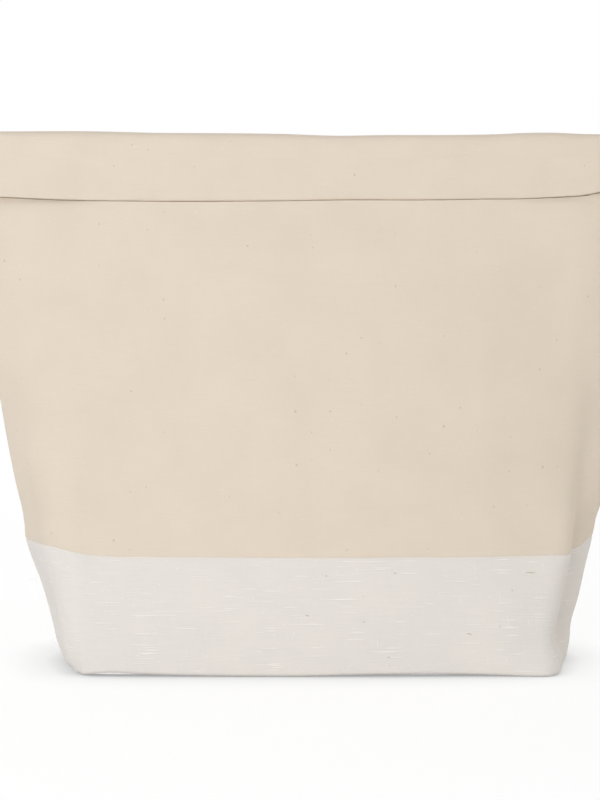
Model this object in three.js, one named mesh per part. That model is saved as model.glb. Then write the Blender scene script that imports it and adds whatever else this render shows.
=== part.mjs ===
// A lunch cooler bag with a folded top: canvas walls over a woven jute-cotton base, foam
// insulation and a foil lining. The mouth is flattened and folded forward once, and hook
// and loop tape hidden behind the fold holds it. Millimetres, +Z up. The front looks
// along -Y, and the origin is the middle of the flat bottom.

import * as THREE from 'three';

// The bag cut and laid flat
const baseWidth = 236;
const baseDepth = 104;

// The standing bag
const floorTuck = 1; // how far the front and back draw in at the floor as the sides belly out
const baseBandHeight = 57;
const bottomRound = 7;
const neckHeight = 228; // where the walls have come together
const neckCorner = 141; // half width of the flat part of the neck, between the tapered edges
const cornerEase = 1;
const depthEase = 1.25;
const frontBulge = 2.5;

// The fold, whose band hangs down to the neck
const bandDepth = 33;
const foldRise = 12.5; // from where the cloth begins to bend to the top
const facingDepth = 12;
const archSquareness = 2.6;
const bendEase = 0.8; // added to the clearance between two layers under the top of the fold
const mouthPinch = 0.6; // space left between the linings where they pass over the fold
const edgeMerge = 0.3; // part of the tapered edge in which the two canvases run together

// The softness of the upright corners and of the side seams, at the floor and at the neck
const cornerRoundFloor = 10;
const cornerRoundNeck = 60;
const seamRoundFloor = 28;
const seamRoundNeck = 0.4;
const seamEase = 1.5;
const leastRound = 0.3;

// Layers and clearances
const canvas = 0.7;
const baseCloth = 0.9;
const foam = 1.8;
const foil = 0.3;
const clearance = 0.3;
const neckHalfGap = 2.2;
const mouthHalfGap = 2.2;

// Hook and loop tape, and the bound seam allowances inside
const tapeLength = 150;
const tapeWidth = 16;
const tapeThickness = 0.8;
const tapeRound = 2;
const tapeInset = 1.5; // from the mouth edge to the tape
const bindingWidth = 7;
const bindingHalf = 0.8;
const bindingStart = 9;
const bindingClearance = 0.5;

// What follows from these
const mouthEdge = neckHeight;
const foldTop = mouthEdge + bandDepth;
const foldStart = foldTop - foldRise;
const shellTop = foldStart - clearance / 2;
const foldFoot = foldStart + clearance / 2;
const halfGirth = (baseWidth + baseDepth) / 2;
const foamAt = Math.max(canvas, baseCloth) + clearance;
const foilAt = foamAt + foam + clearance;
const liningFace = foilAt + foil;
const facingAt = canvas + clearance;
const neckHalfDepth = neckHalfGap + liningFace;
const lipHalfDepth = mouthHalfGap + facingAt + canvas;
const tapeStack = 2 * tapeThickness + 3 * clearance;
const lipCentre = -(neckHalfDepth + tapeStack + lipHalfDepth);

// How finely the round stretches are stepped
const frontSteps = 2;
const cornerSteps = 3;
const gussetSteps = 3;
const seamSteps = 2;
const bottomSteps = 3;
const archSteps = 8;
const wallSteps = 6;
const wallCrowding = 1.5; // draws the levels together towards the neck
const leastStep = 0.05;

const mix = (a, b, t) => a + (b - a) * t;
const isBetween = (z, low, high) => z > low + leastStep && z < high - leastStep;

// The heights at which the wall is cut between the rounded foot and the neck.
const upperLevels = Array.from({ length: wallSteps }, (_, i) => (
  mix(neckHeight, baseBandHeight, (1 - (i + 1) / wallSteps) ** wallCrowding)
));
const wallLevels = [baseBandHeight / 2, baseBandHeight, ...upperLevels];

// A level cut through the bag is a six-sided outline: a flat front and back, and two
// gussets that meet in the side seams. The cloth's girth is the same at every height.
function cutAt(z) {
  const up = Math.min(z / neckHeight, 1);
  const corner = mix(baseWidth / 2, neckCorner, up ** cornerEase);
  const depth = mix(baseDepth / 2 - floorTuck, neckHalfDepth, up ** depthEase);
  return {
    corner,
    depth,
    side: sideFor(corner, depth),
    cornerRound: mix(cornerRoundFloor, cornerRoundNeck, up),
    seamRound: mix(seamRoundNeck, seamRoundFloor, (1 - up) ** seamEase),
    bulge: frontBulge * Math.sin(Math.PI * up),
  };
}

const lipCut = {
  corner: neckCorner,
  depth: lipHalfDepth,
  side: sideFor(neckCorner, lipHalfDepth),
  cornerRound: cornerRoundNeck,
  seamRound: seamRoundNeck,
  bulge: 0,
};

function sideFor(corner, depth) {
  const gusset = halfGirth - corner;
  return corner + Math.sqrt(Math.max(gusset ** 2 - depth ** 2, 0));
}

// The same outline, moved inward by a layer's depth under the outer face.
function inset(cut, by) {
  const lean = (cut.side - cut.corner) / cut.depth;
  const side = cut.side - by * Math.hypot(lean, 1);
  const depth = cut.depth - by;
  return {
    corner: side - depth * lean,
    depth,
    side,
    cornerRound: Math.max(cut.cornerRound - by, leastRound),
    seamRound: Math.max(cut.seamRound - by, leastRound),
    bulge: cut.bulge,
  };
}

function arc(centreX, centreY, radius, from, to, steps) {
  return Array.from({ length: steps }, (_, i) => {
    const angle = mix(from, to, (i + 1) / steps);
    return [centreX + radius * Math.cos(angle), centreY + radius * Math.sin(angle)];
  });
}

// The front half of the outline, from the left side seam to the right one.
function frontHalf(cut) {
  const { corner, depth, side, cornerRound, seamRound, bulge } = cut;
  const heading = Math.atan2(depth, side - corner);
  const flatEnd = corner - cornerRound * Math.tan(heading / 2);
  const right = [];
  for (let i = 0; i <= frontSteps; i += 1) {
    const x = (flatEnd * i) / frontSteps;
    right.push([x, -depth - bulge * (1 - (x / flatEnd) ** 2)]);
  }
  const start = -Math.PI / 2;
  right.push(...arc(flatEnd, cornerRound - depth, cornerRound, start, start + heading, cornerSteps));
  const seamCentre = side - seamRound / Math.sin(heading);
  const [gussetX, gussetY] = right.at(-1);
  const seamArc = arc(seamCentre, 0, seamRound, start + heading, 0, seamSteps);
  const seamX = seamCentre + seamRound * Math.cos(start + heading);
  const seamY = seamRound * Math.sin(start + heading);
  for (let i = 1; i <= gussetSteps; i += 1) {
    right.push([mix(gussetX, seamX, i / gussetSteps), mix(gussetY, seamY, i / gussetSteps)]);
  }
  right.push(...seamArc);
  right.at(-1)[1] = -clearance / 2;
  const left = right.slice(1).reverse().map(([x, y]) => [-x, y]);
  return [...left, ...right];
}

const columns = frontHalf(cutAt(0)).length;

// The rounding at the foot of the base cloth: how far its inner face draws in at a height.
const bottomArc = Array.from({ length: bottomSteps + 1 }, (_, i) => {
  const angle = (i / bottomSteps) * (Math.PI / 2);
  return { rise: 1 - Math.cos(angle), draw: 1 - Math.sin(angle) };
});

function footDraw(z) {
  const radius = bottomRound - baseCloth;
  const rise = (z - baseCloth) / radius;
  const above = bottomArc.findIndex((step) => step.rise > rise);
  if (above < 0) {
    return 0;
  }
  const [a, b] = [bottomArc[above - 1], bottomArc[above]];
  return radius * mix(a.draw, b.draw, (rise - a.rise) / (b.rise - a.rise));
}

const footLevels = bottomArc.map((step) => baseCloth + (bottomRound - baseCloth) * step.rise);
const levels = [...footLevels, ...wallLevels];

// Two triangles for a four-cornered patch a, b, c, d. They meet on the diagonal that lies
// further out, so that layers which lie in each other are split alike. outward gives the
// direction away from the middle at a point.
function patch([a, b, c, d], points, outward) {
  const [pa, pb, pc, pd] = [a, b, c, d].map((n) => new THREE.Vector3(...points[n]));
  const normal = pc.clone().sub(pa).cross(pd.clone().sub(pb));
  const step = pa.clone().add(pc).sub(pb).sub(pd);
  const facing = Math.sign(normal.dot(outward(...points[a])));
  return facing * step.dot(normal) >= 0 ? [a, b, c, a, c, d] : [a, b, d, b, c, d];
}

const fromMiddle = (x, y) => new THREE.Vector3(x, y, 0);

// A closed solid from a profile carried along an open row of columns. place gives the
// point of a profile corner at a column. A profile goes along one face and back along the
// other with as many corners, so its ends are capped by a strip between the two.
function carry(profile, place, count, outward = fromMiddle) {
  const sides = profile.length;
  const points = [];
  for (let k = 0; k < count; k += 1) {
    points.push(...profile.map((corner) => place(k, corner)));
  }
  const index = [];
  for (let here = 0; here < (count - 1) * sides; here += sides) {
    for (let i = 0; i < sides; i += 1) {
      const j = (i + 1) % sides;
      index.push(...patch([here + i, here + sides + i, here + sides + j, here + j], points, outward));
    }
  }
  const last = (count - 1) * sides;
  for (let i = 0; i + 1 < sides / 2; i += 1) {
    const corners = [i, i + 1, sides - 2 - i, sides - 1 - i];
    const [a, b, c, d] = corners;
    const [e, f, g, h] = corners.map((n) => last + n);
    index.push(a, b, c, a, c, d, e, g, f, e, h, g);
  }
  return solid(points, index);
}

// Indexed triangles as a geometry, turned so that every face looks outward.
function solid(points, index) {
  const corner = (i) => new THREE.Vector3(...points[index[i]]);
  let volume = 0;
  for (let i = 0; i < index.length; i += 3) {
    volume += corner(i).dot(corner(i + 1).cross(corner(i + 2)));
  }
  const turned = volume < 0 ? index.map((_, i) => index[i - (i % 3) + [0, 2, 1][i % 3]]) : index;
  const geometry = new THREE.BufferGeometry();
  geometry.setAttribute('position', new THREE.Float32BufferAttribute(points.flat(), 3));
  geometry.setIndex(turned);
  geometry.computeVertexNormals();
  return geometry;
}

// One wall layer, from depth near to depth far under the outer face, between two heights.
function wallProfile(near, far, low, high) {
  const heights = [low, ...levels.filter((z) => isBetween(z, low, high)), high];
  const face = (depth) => heights.map((z) => ({ depth: depth + footDraw(z), z }));
  return [...face(near), ...face(far).reverse()];
}

const onFront = (k, { depth, z }) => {
  const [x, y] = frontHalf(inset(cutAt(z), depth))[k];
  return [x, y, z];
};

const onBack = (k, corner) => {
  const [x, y, z] = onFront(k, corner);
  return [x, -y, z];
};

function wallLayer(place, near, far, low, high) {
  return carry(wallProfile(near, far, low, high), place, columns);
}

// All the way round: the front half, then the back half from the right seam to the left.
function ring(cut) {
  const half = frontHalf(cut);
  const side = half.at(-1)[0];
  const front = half.slice(1, -1);
  const back = front.map(([x, y]) => [-x, -y]);
  return [[-side, 0], ...front, [side, 0], ...back];
}

// A solid of stacked rings, closed by a fan over its first and its last ring.
function stack(rings, firstCentre, lastCentre) {
  const count = rings[0].length;
  const points = [...rings.flat(), firstCentre, lastCentre];
  const index = [];
  const centre = rings.length * count;
  const last = centre - count;
  for (let i = 0; i < count; i += 1) {
    const j = (i + 1) % count;
    for (let row = 0; row < last; row += count) {
      index.push(...patch([row + i, row + j, row + count + j, row + count + i], points, fromMiddle));
    }
    index.push(centre, j, i, centre + 1, last + i, last + j);
  }
  return solid(points, index);
}

const ringAt = (z, depth, at = z) => ring(inset(cutAt(z), depth)).map(([x, y]) => [x, y, at]);

// The base cloth: the flat bottom, the rounded foot and the band round the bag.
function baseTray() {
  const top = baseBandHeight - clearance / 2;
  const outerFoot = bottomArc.map(({ rise, draw }) => ringAt(bottomRound * rise, bottomRound * draw));
  const innerRadius = bottomRound - baseCloth;
  const innerFoot = bottomArc.map(({ rise, draw }) => (
    ringAt(baseCloth + innerRadius * rise, baseCloth + innerRadius * draw)
  ));
  const walls = wallLevels.filter((z) => isBetween(z, bottomRound, top));
  const outer = [...outerFoot, ...walls.map((z) => ringAt(z, 0)), ringAt(top, 0)];
  const inner = [...innerFoot, ...walls.map((z) => ringAt(z, baseCloth)), ringAt(top, baseCloth)];
  return stack([...outer, ...inner.reverse()], [0, 0, 0], [0, 0, baseCloth]);
}

function basePlate(low, high, depth) {
  return stack([ringAt(low, depth), ringAt(low, depth, high)], [0, 0, low], [0, 0, high]);
}

// The bound allowance of a side seam: a fin on the middle plane, inside the foil.
function seamBinding(side) {
  const heights = [bindingStart, ...levels.filter((z) => isBetween(z, bindingStart, neckHeight)), neckHeight];
  const reach = bindingHalf + bindingClearance;
  const edges = heights.map((z) => {
    const lining = frontHalf(inset(cutAt(z), liningFace));
    const beyond = lining.findLastIndex(([, y]) => -y >= reach);
    const [a, b] = [lining[beyond], lining[beyond + 1]];
    const x = mix(a[0], b[0], (-a[1] - reach) / (b[1] - a[1]));
    return Math.min(x, lining.at(-1)[0] - bindingClearance);
  });
  const section = [[0, -bindingHalf], [0, bindingHalf], [-bindingWidth, bindingHalf], [-bindingWidth, -bindingHalf]];
  return carry(section, (k, [x, y]) => [side * (edges[k] + x), y, heights[k]], heights.length);
}

// A lip of the mouth. direction is 1 for the inner lip, next to the bag, and -1 for the
// outer one. Its canvas turns up inside as a facing.
const onLip = (direction) => (k, [depth, z]) => {
  const [x, y] = frontHalf(inset(lipCut, depth))[k];
  return [x, lipCentre - direction * y, z];
};

function lipCanvas(direction) {
  const facingTop = mouthEdge + facingDepth;
  const turn = mouthEdge + canvas;
  const profile = [
    [0, shellTop], [0, mouthEdge], [facingAt + canvas, mouthEdge], [facingAt + canvas, facingTop],
    [facingAt, facingTop], [facingAt, turn], [canvas, turn], [canvas, shellTop],
  ];
  return carry(profile, onLip(direction), columns);
}

function lipFoil(direction) {
  const low = mouthEdge + facingDepth + clearance;
  const profile = [[facingAt, low], [facingAt, shellTop], [facingAt + foil, shellTop], [facingAt + foil, low]];
  return carry(profile, onLip(direction), columns);
}

// A layer where it passes over the fold, from the bag's wall to the lip. side is 1 for
// the back wall, which becomes the outer lip, and -1 for the front wall and the inner
// lip. Each face has its depth in the wall, in the lip and under the top of the fold.
function foldLayer(side, faces) {
  const profile = [];
  faces.forEach((face, row) => {
    for (let i = 0; i <= archSteps; i += 1) {
      const step = row === 0 ? i : archSteps - i;
      profile.push({ ...face, angle: (step / archSteps) * Math.PI });
    }
  });
  const squared = (value) => Math.sign(value) * Math.abs(value) ** (2 / archSquareness);
  const place = (k, { inWall, inLip, underTop, angle }) => {
    const [wallX, wallY] = frontHalf(inset(cutAt(foldStart), inWall))[k];
    const [lipX, lipY] = frontHalf(inset(lipCut, inLip))[k];
    const [from, to] = [-side * wallY, lipCentre + side * lipY];
    const across = squared(Math.cos(angle));
    const towards = (1 - across) / 2;
    const rise = foldTop - underTop(k) - foldFoot;
    return [mix(wallX, lipX, towards), mix(from, to, towards), foldFoot + rise * squared(Math.sin(angle))];
  };
  const fromFold = (x, y, z) => new THREE.Vector3(0, y - lipCentre / 2, z - foldFoot);
  return carry(profile, place, columns, fromFold);
}

// The front canvas lies deep in the fold and rises to the back canvas at the side seams.
function frontCanvasUnder(face) {
  const deep = frontFoilTop + foil + clearance + bendEase + face;
  const shallow = canvas + clearance + face;
  const middle = frontHalf(cutAt(foldStart));
  return (k) => {
    const cut = cutAt(foldStart);
    const share = (cut.side - Math.abs(middle[k][0])) / (cut.side - cut.corner);
    return mix(shallow, deep, Math.min(share / edgeMerge, 1));
  };
}

const even = (depth) => () => depth;
const backFoilTop = facingAt + bendEase;
const frontFoilTop = backFoilTop + foil + mouthPinch;

function backCanvasFold() {
  return foldLayer(1, [
    { inWall: 0, inLip: 0, underTop: even(0) },
    { inWall: canvas, inLip: canvas, underTop: even(canvas) },
  ]);
}

function backFoilFold() {
  return foldLayer(1, [
    { inWall: foilAt, inLip: facingAt, underTop: even(backFoilTop) },
    { inWall: liningFace, inLip: facingAt + foil, underTop: even(backFoilTop + foil) },
  ]);
}

function frontFoilFold() {
  return foldLayer(-1, [
    { inWall: liningFace, inLip: facingAt + foil, underTop: even(frontFoilTop) },
    { inWall: foilAt, inLip: facingAt, underTop: even(frontFoilTop + foil) },
  ]);
}

function frontCanvasFold() {
  return foldLayer(-1, [
    { inWall: canvas, inLip: canvas, underTop: frontCanvasUnder(0) },
    { inWall: 0, inLip: 0, underTop: frontCanvasUnder(canvas) },
  ]);
}

// A strip of tape standing on its long edge, with rounded corners.
function tapeStrip() {
  const [halfX, halfZ] = [tapeLength / 2, tapeWidth / 2];
  const shape = new THREE.Shape();
  shape.moveTo(tapeRound - halfX, -halfZ);
  shape.lineTo(halfX - tapeRound, -halfZ);
  shape.absarc(halfX - tapeRound, tapeRound - halfZ, tapeRound, -Math.PI / 2, 0);
  shape.absarc(halfX - tapeRound, halfZ - tapeRound, tapeRound, 0, Math.PI / 2);
  shape.absarc(tapeRound - halfX, halfZ - tapeRound, tapeRound, Math.PI / 2, Math.PI);
  shape.absarc(tapeRound - halfX, tapeRound - halfZ, tapeRound, Math.PI, Math.PI * 1.5);
  const options = { depth: tapeThickness, bevelEnabled: false, curveSegments: 3 };
  return new THREE.ExtrudeGeometry(shape, options).rotateX(Math.PI / 2);
}

const finishes = {
  canvas: new THREE.MeshStandardMaterial({ color: 0xe3d6c4, roughness: 0.95, metalness: 0 }),
  juco: new THREE.MeshStandardMaterial({ color: 0xe7e1da, roughness: 0.95, metalness: 0 }),
  foam: new THREE.MeshStandardMaterial({ color: 0xf2f2f0, roughness: 0.8, metalness: 0 }),
  foil: new THREE.MeshStandardMaterial({ color: 0xc9cccf, roughness: 0.3, metalness: 0.9 }),
  binding: new THREE.MeshStandardMaterial({ color: 0xd9cfbf, roughness: 0.9, metalness: 0 }),
  tape: new THREE.MeshStandardMaterial({ color: 0xe2d8c8, roughness: 0.9, metalness: 0 }),
};

const bag = new THREE.Group();
const innerLip = new THREE.Group();
const outerLip = new THREE.Group();
bag.add(innerLip, outerLip);

function add(group, name, geometry, finish) {
  const mesh = new THREE.Mesh(geometry, finishes[finish]);
  mesh.name = name;
  group.add(mesh);
  return mesh;
}

// The outer shell
const canvasLow = baseBandHeight + clearance / 2;
add(bag, 'base_wrap', baseTray(), 'juco');
add(bag, 'front_canvas', wallLayer(onFront, 0, canvas, canvasLow, shellTop), 'canvas');
add(bag, 'back_canvas', wallLayer(onBack, 0, canvas, canvasLow, shellTop), 'canvas');

// The insulation and the lining
const foamPlateLow = baseCloth + clearance;
const foamPlateTop = foamPlateLow + foam;
const liningLow = foamPlateTop + clearance;
const foamPlateDepth = baseCloth + footDraw(baseCloth) + clearance;
const foilPlateDepth = liningFace + footDraw(liningLow) + clearance;
add(bag, 'base_foam', basePlate(foamPlateLow, foamPlateTop, foamPlateDepth), 'foam');
add(bag, 'front_foam', wallLayer(onFront, foamAt, foamAt + foam, liningLow, shellTop), 'foam');
add(bag, 'back_foam', wallLayer(onBack, foamAt, foamAt + foam, liningLow, shellTop), 'foam');
add(bag, 'base_foil', basePlate(liningLow, liningLow + foil, foilPlateDepth), 'foil');
add(bag, 'front_foil', wallLayer(onFront, foilAt, liningFace, liningLow, shellTop), 'foil');
add(bag, 'back_foil', wallLayer(onBack, foilAt, liningFace, liningLow, shellTop), 'foil');
add(bag, 'left_seam_binding', seamBinding(-1), 'binding');
add(bag, 'right_seam_binding', seamBinding(1), 'binding');

// The cloth that bends over the fold
add(bag, 'back_canvas_fold', backCanvasFold(), 'canvas');
add(bag, 'back_foil_fold', backFoilFold(), 'foil');
add(bag, 'front_foil_fold', frontFoilFold(), 'foil');
add(bag, 'front_canvas_fold', frontCanvasFold(), 'canvas');

// The two lips of the mouth, hanging in front of the neck
add(innerLip, 'inner_lip_canvas', lipCanvas(1), 'canvas');
add(innerLip, 'inner_lip_foil', lipFoil(1), 'foil');
add(outerLip, 'outer_lip_canvas', lipCanvas(-1), 'canvas');
add(outerLip, 'outer_lip_foil', lipFoil(-1), 'foil');

// The tape that holds the fold: loops on the bag, hooks on the inner lip
const tapeMiddle = mouthEdge + tapeInset + tapeWidth / 2;
const loopBack = -(neckHalfDepth + clearance);
const loopTape = add(bag, 'loop_tape', tapeStrip(), 'tape');
loopTape.position.set(0, loopBack, tapeMiddle);
const hookTape = add(innerLip, 'hook_tape', tapeStrip(), 'tape');
hookTape.position.set(0, loopBack - tapeThickness - clearance, tapeMiddle);

export default bag;
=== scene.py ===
"""The finished look of a folded-top lunch cooler bag.

Unbleached canvas walls stand on a boxed base of white jute-cotton cloth and close together
upward into a flat neck. The flattened mouth is folded forward once and hangs over the front
as a band. Foam and a foil lining lie inside, and hook and loop tape is hidden under the fold.
Everything is in metres, with +Z up, the front towards -Y and the origin under the middle of
the bag.
"""

from __future__ import annotations

import logging
import math
import random
from dataclasses import dataclass
from enum import Enum
from typing import Callable, Optional, Sequence

import bpy
import numpy as np
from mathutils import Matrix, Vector
from mathutils import noise as perlin

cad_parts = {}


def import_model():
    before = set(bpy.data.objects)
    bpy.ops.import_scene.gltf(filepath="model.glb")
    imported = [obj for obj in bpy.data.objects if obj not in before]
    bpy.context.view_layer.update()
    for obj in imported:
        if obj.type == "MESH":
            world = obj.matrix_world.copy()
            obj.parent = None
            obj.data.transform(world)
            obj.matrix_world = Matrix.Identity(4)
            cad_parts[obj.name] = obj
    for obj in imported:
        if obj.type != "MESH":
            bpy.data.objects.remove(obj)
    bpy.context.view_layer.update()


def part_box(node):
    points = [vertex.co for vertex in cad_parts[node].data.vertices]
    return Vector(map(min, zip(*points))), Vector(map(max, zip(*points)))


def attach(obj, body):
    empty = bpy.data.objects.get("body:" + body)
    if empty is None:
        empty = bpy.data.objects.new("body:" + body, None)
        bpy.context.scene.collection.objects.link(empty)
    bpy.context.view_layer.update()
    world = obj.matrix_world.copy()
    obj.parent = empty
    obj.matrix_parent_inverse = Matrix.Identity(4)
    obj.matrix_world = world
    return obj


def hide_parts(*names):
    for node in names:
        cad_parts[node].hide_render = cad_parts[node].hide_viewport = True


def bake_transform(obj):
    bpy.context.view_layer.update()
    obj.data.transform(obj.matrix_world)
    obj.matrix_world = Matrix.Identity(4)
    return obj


log = logging.getLogger("cooler_bag")

MM = 0.001
Point = tuple[float, float, float]
Colour = tuple[float, float, float]
Piece = bpy.types.Object
Tree = bpy.types.NodeTree
Node = bpy.types.Node
Socket = bpy.types.NodeSocket


class Face(Enum):
    """The two halves of the bag that meet in the side seams."""

    FRONT = "front"
    BACK = "back"

    @property
    def towards(self) -> float:
        """The sign of Y on this half."""
        return -1.0 if self is Face.FRONT else 1.0


class Side(Enum):
    """The two ends of the mouth."""

    LEFT = "left"
    RIGHT = "right"

    @property
    def towards(self) -> float:
        """The sign of X on this side."""
        return -1.0 if self is Side.LEFT else 1.0


class Pattern(Enum):
    """Moves each pattern of noise to a place of its own, so that no two agree."""

    HOLLOW = 3.7
    DENT = 11.3
    DRAPE = 23.9
    BAND_BROAD = 5.1
    BAND_FINE = 8.8
    CRINKLE = 2.2
    SWAY = 7.0


def mix(a: float, b: float, share: float) -> float:
    """A value between a and b."""
    return a + (b - a) * share


def knots(*pairs: tuple[float, float]) -> tuple[tuple[float, float], ...]:
    """Pairs of place and value for eased_line, written in millimetres."""
    return tuple((place * MM, value * MM) for place, value in pairs)


def ease(value: np.ndarray | float) -> np.ndarray:
    """A soft step from 0 to 1 while value goes from 0 to 1."""
    held = np.clip(value, 0.0, 1.0)
    return held * held * (3.0 - 2.0 * held)


def hump(value: np.ndarray | float, middle: float, spread: float) -> np.ndarray:
    """A soft hump of height 1 round middle."""
    return np.exp(-(((value - middle) / spread) ** 2))


def eased_line(knots: Sequence[tuple[float, float]], at: np.ndarray) -> np.ndarray:
    """A smooth line through knots, level at both ends and beyond them.

    Args:
        knots: pairs of place and value, from low to high place.
        at: the places to read.

    Returns:
        The value at each place.
    """
    places = np.array([knot[0] for knot in knots])
    values = np.array([knot[1] for knot in knots])
    slopes = np.gradient(values, places)
    slopes[0] = slopes[-1] = 0.0
    after = np.clip(np.searchsorted(places, at), 1, len(places) - 1)
    before = after - 1
    span = places[after] - places[before]
    t = np.clip((at - places[before]) / span, 0.0, 1.0)
    rising = values[before] * (1 + 2 * t) * (1 - t) ** 2 + values[after] * t * t * (3 - 2 * t)
    return rising + span * t * (1 - t) * (slopes[before] * (1 - t) - slopes[after] * t)


def noise_field(points: np.ndarray, scale: Point, pattern: Pattern) -> np.ndarray:
    """Smooth noise from about -1 to 1 at each point.

    Args:
        points: an array whose last axis is X, Y and Z.
        scale: how many waves there are to a metre along each axis.
        pattern: which pattern to read.

    Returns:
        One value for each point.
    """
    flat = points.reshape(-1, 3) * np.array(scale) + pattern.value
    values = [perlin.noise(Vector(place)) for place in flat]
    return np.array(values).reshape(points.shape[:-1])


@dataclass(frozen=True)
class Columns:
    """How many steps the outline of a half is divided into, on each side of its middle."""

    front: int = 46
    corner: int = 10
    gusset: int = 14
    seam: int = 7

    @property
    def middle(self) -> int:
        """The column in the middle of the front."""
        return self.front + self.corner + self.gusset + self.seam


@dataclass(frozen=True)
class Section:
    """A level cut through the cloth: a flat face, two soft corners and two gussets.

    corner is half the width of the flat face, depth is how far it stands from the middle
    plane, and side is where the gussets meet in the side seam.
    """

    corner: float
    depth: float
    side: float
    corner_round: float
    seam_round: float
    bulge: float

    LEAST_ROUND = 0.3 * MM

    def inset(self, by: float) -> "Section":
        """The same cut, moved inward.

        Args:
            by: the depth of a layer under the outer face.

        Returns:
            The cut through that layer.
        """
        lean = (self.side - self.corner) / self.depth
        side = self.side - by * math.hypot(lean, 1.0)
        depth = self.depth - by
        return Section(
            corner=side - depth * lean,
            depth=depth,
            side=side,
            corner_round=max(self.corner_round - by, self.LEAST_ROUND),
            seam_round=max(self.seam_round - by, self.LEAST_ROUND),
            bulge=self.bulge,
        )

    def half(self, columns: Columns) -> np.ndarray:
        """The outline of the front half, from the left side seam to the right one.

        Args:
            columns: how finely it is stepped.

        Returns:
            An array of columns by 2, of X and Y, with Y below 0.
        """
        heading = math.atan2(self.depth, self.side - self.corner)
        flat_end = self.corner - self.corner_round * math.tan(heading / 2)
        across = np.linspace(0.0, flat_end, columns.front + 1)
        belly = self.bulge * (1 + np.cos(math.pi * across / flat_end)) / 2
        flat = np.column_stack([across, -self.depth - belly])
        turn = np.linspace(0.0, heading, columns.corner + 1)[1:] - math.pi / 2
        arc = np.column_stack([
            flat_end + self.corner_round * np.cos(turn),
            self.corner_round - self.depth + self.corner_round * np.sin(turn),
        ])
        seam_middle = self.side - self.seam_round / math.sin(heading)
        seam_turn = np.linspace(heading - math.pi / 2, 0.0, columns.seam + 1)
        seam = np.column_stack([
            seam_middle + self.seam_round * np.cos(seam_turn),
            self.seam_round * np.sin(seam_turn),
        ])
        share = np.linspace(0.0, 1.0, columns.gusset + 1)[1:, None]
        gusset = arc[-1] + (seam[0] - arc[-1]) * share
        right = np.vstack([flat, arc, gusset, seam[1:]])
        left = right[1:][::-1] * np.array([-1.0, 1.0])
        return np.vstack([left, right])


@dataclass(frozen=True)
class Layers:
    """Depths under the outer face, in the order in which the layers lie."""

    canvas: float = 0.7 * MM
    base_cloth: float = 0.9 * MM
    foam: float = 1.8 * MM
    foil: float = 0.3 * MM
    clearance: float = 0.3 * MM

    @property
    def foam_at(self) -> float:
        """Where the foam begins."""
        return max(self.canvas, self.base_cloth) + self.clearance

    @property
    def foil_at(self) -> float:
        """Where the foil begins."""
        return self.foam_at + self.foam + self.clearance

    @property
    def lining(self) -> float:
        """The inner face of the foil."""
        return self.foil_at + self.foil

    @property
    def facing_at(self) -> float:
        """Where the turned-up hem begins, under the cloth of a lip."""
        return self.canvas + self.clearance


@dataclass(frozen=True)
class BagForm:
    """The shape of the sewn cloth, standing on its base and closed at its neck.

    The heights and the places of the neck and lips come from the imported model.
    """

    seam_height: float
    neck_height: float
    fold_start: float
    fold_top: float
    neck_half_depth: float
    lip_centre: float
    lip_half_depth: float
    base_corner: float = 118 * MM
    base_half_depth: float = 51 * MM
    half_girth: float = 170 * MM
    neck_corner: float = 141 * MM
    corner_ease: float = 1.0
    depth_ease: float = 1.25
    front_bulge: float = 2.5 * MM
    corner_round_floor: float = 10 * MM
    corner_round_neck: float = 60 * MM
    seam_round_floor: float = 28 * MM
    seam_round_neck: float = 0.4 * MM
    seam_ease: float = 1.5
    foot_round: float = 2.2 * MM
    layers: Layers = Layers()
    columns: Columns = Columns()

    @classmethod
    def from_frame(cls) -> "BagForm":
        """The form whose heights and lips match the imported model."""
        layers = Layers()
        lip_low, lip_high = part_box("outer_lip_canvas")
        inner_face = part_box("inner_lip_canvas")[1][1]
        shell_gap = layers.clearance / 2
        return cls(
            seam_height=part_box("base_wrap")[1][2] + shell_gap,
            neck_height=lip_low[2],
            fold_start=lip_high[2] + shell_gap,
            fold_top=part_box("back_canvas_fold")[1][2],
            neck_half_depth=-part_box("loop_tape")[1][1] - layers.clearance,
            lip_centre=(lip_low[1] + inner_face) / 2,
            lip_half_depth=(inner_face - lip_low[1]) / 2,
        )

    def section(self, height: float) -> Section:
        """The cut through the outer face at a height."""
        up = min(max(height, 0.0) / self.neck_height, 1.0)
        corner = mix(self.base_corner, self.neck_corner, up ** self.corner_ease)
        depth = mix(self.base_half_depth, self.neck_half_depth, up ** self.depth_ease)
        gusset = self.half_girth - corner
        return Section(
            corner=corner,
            depth=depth,
            side=corner + math.sqrt(max(gusset ** 2 - depth ** 2, 0.0)),
            corner_round=mix(self.corner_round_floor, self.corner_round_neck, up),
            seam_round=mix(self.seam_round_neck, self.seam_round_floor, (1 - up) ** self.seam_ease),
            bulge=self.front_bulge * math.sin(math.pi * up),
        )

    @property
    def lip_section(self) -> Section:
        """The cut through a lip of the mouth."""
        gusset = self.half_girth - self.neck_corner
        return Section(
            corner=self.neck_corner,
            depth=self.lip_half_depth,
            side=self.neck_corner + math.sqrt(gusset ** 2 - self.lip_half_depth ** 2),
            corner_round=self.corner_round_neck,
            seam_round=self.seam_round_neck,
            bulge=0.0,
        )


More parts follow.
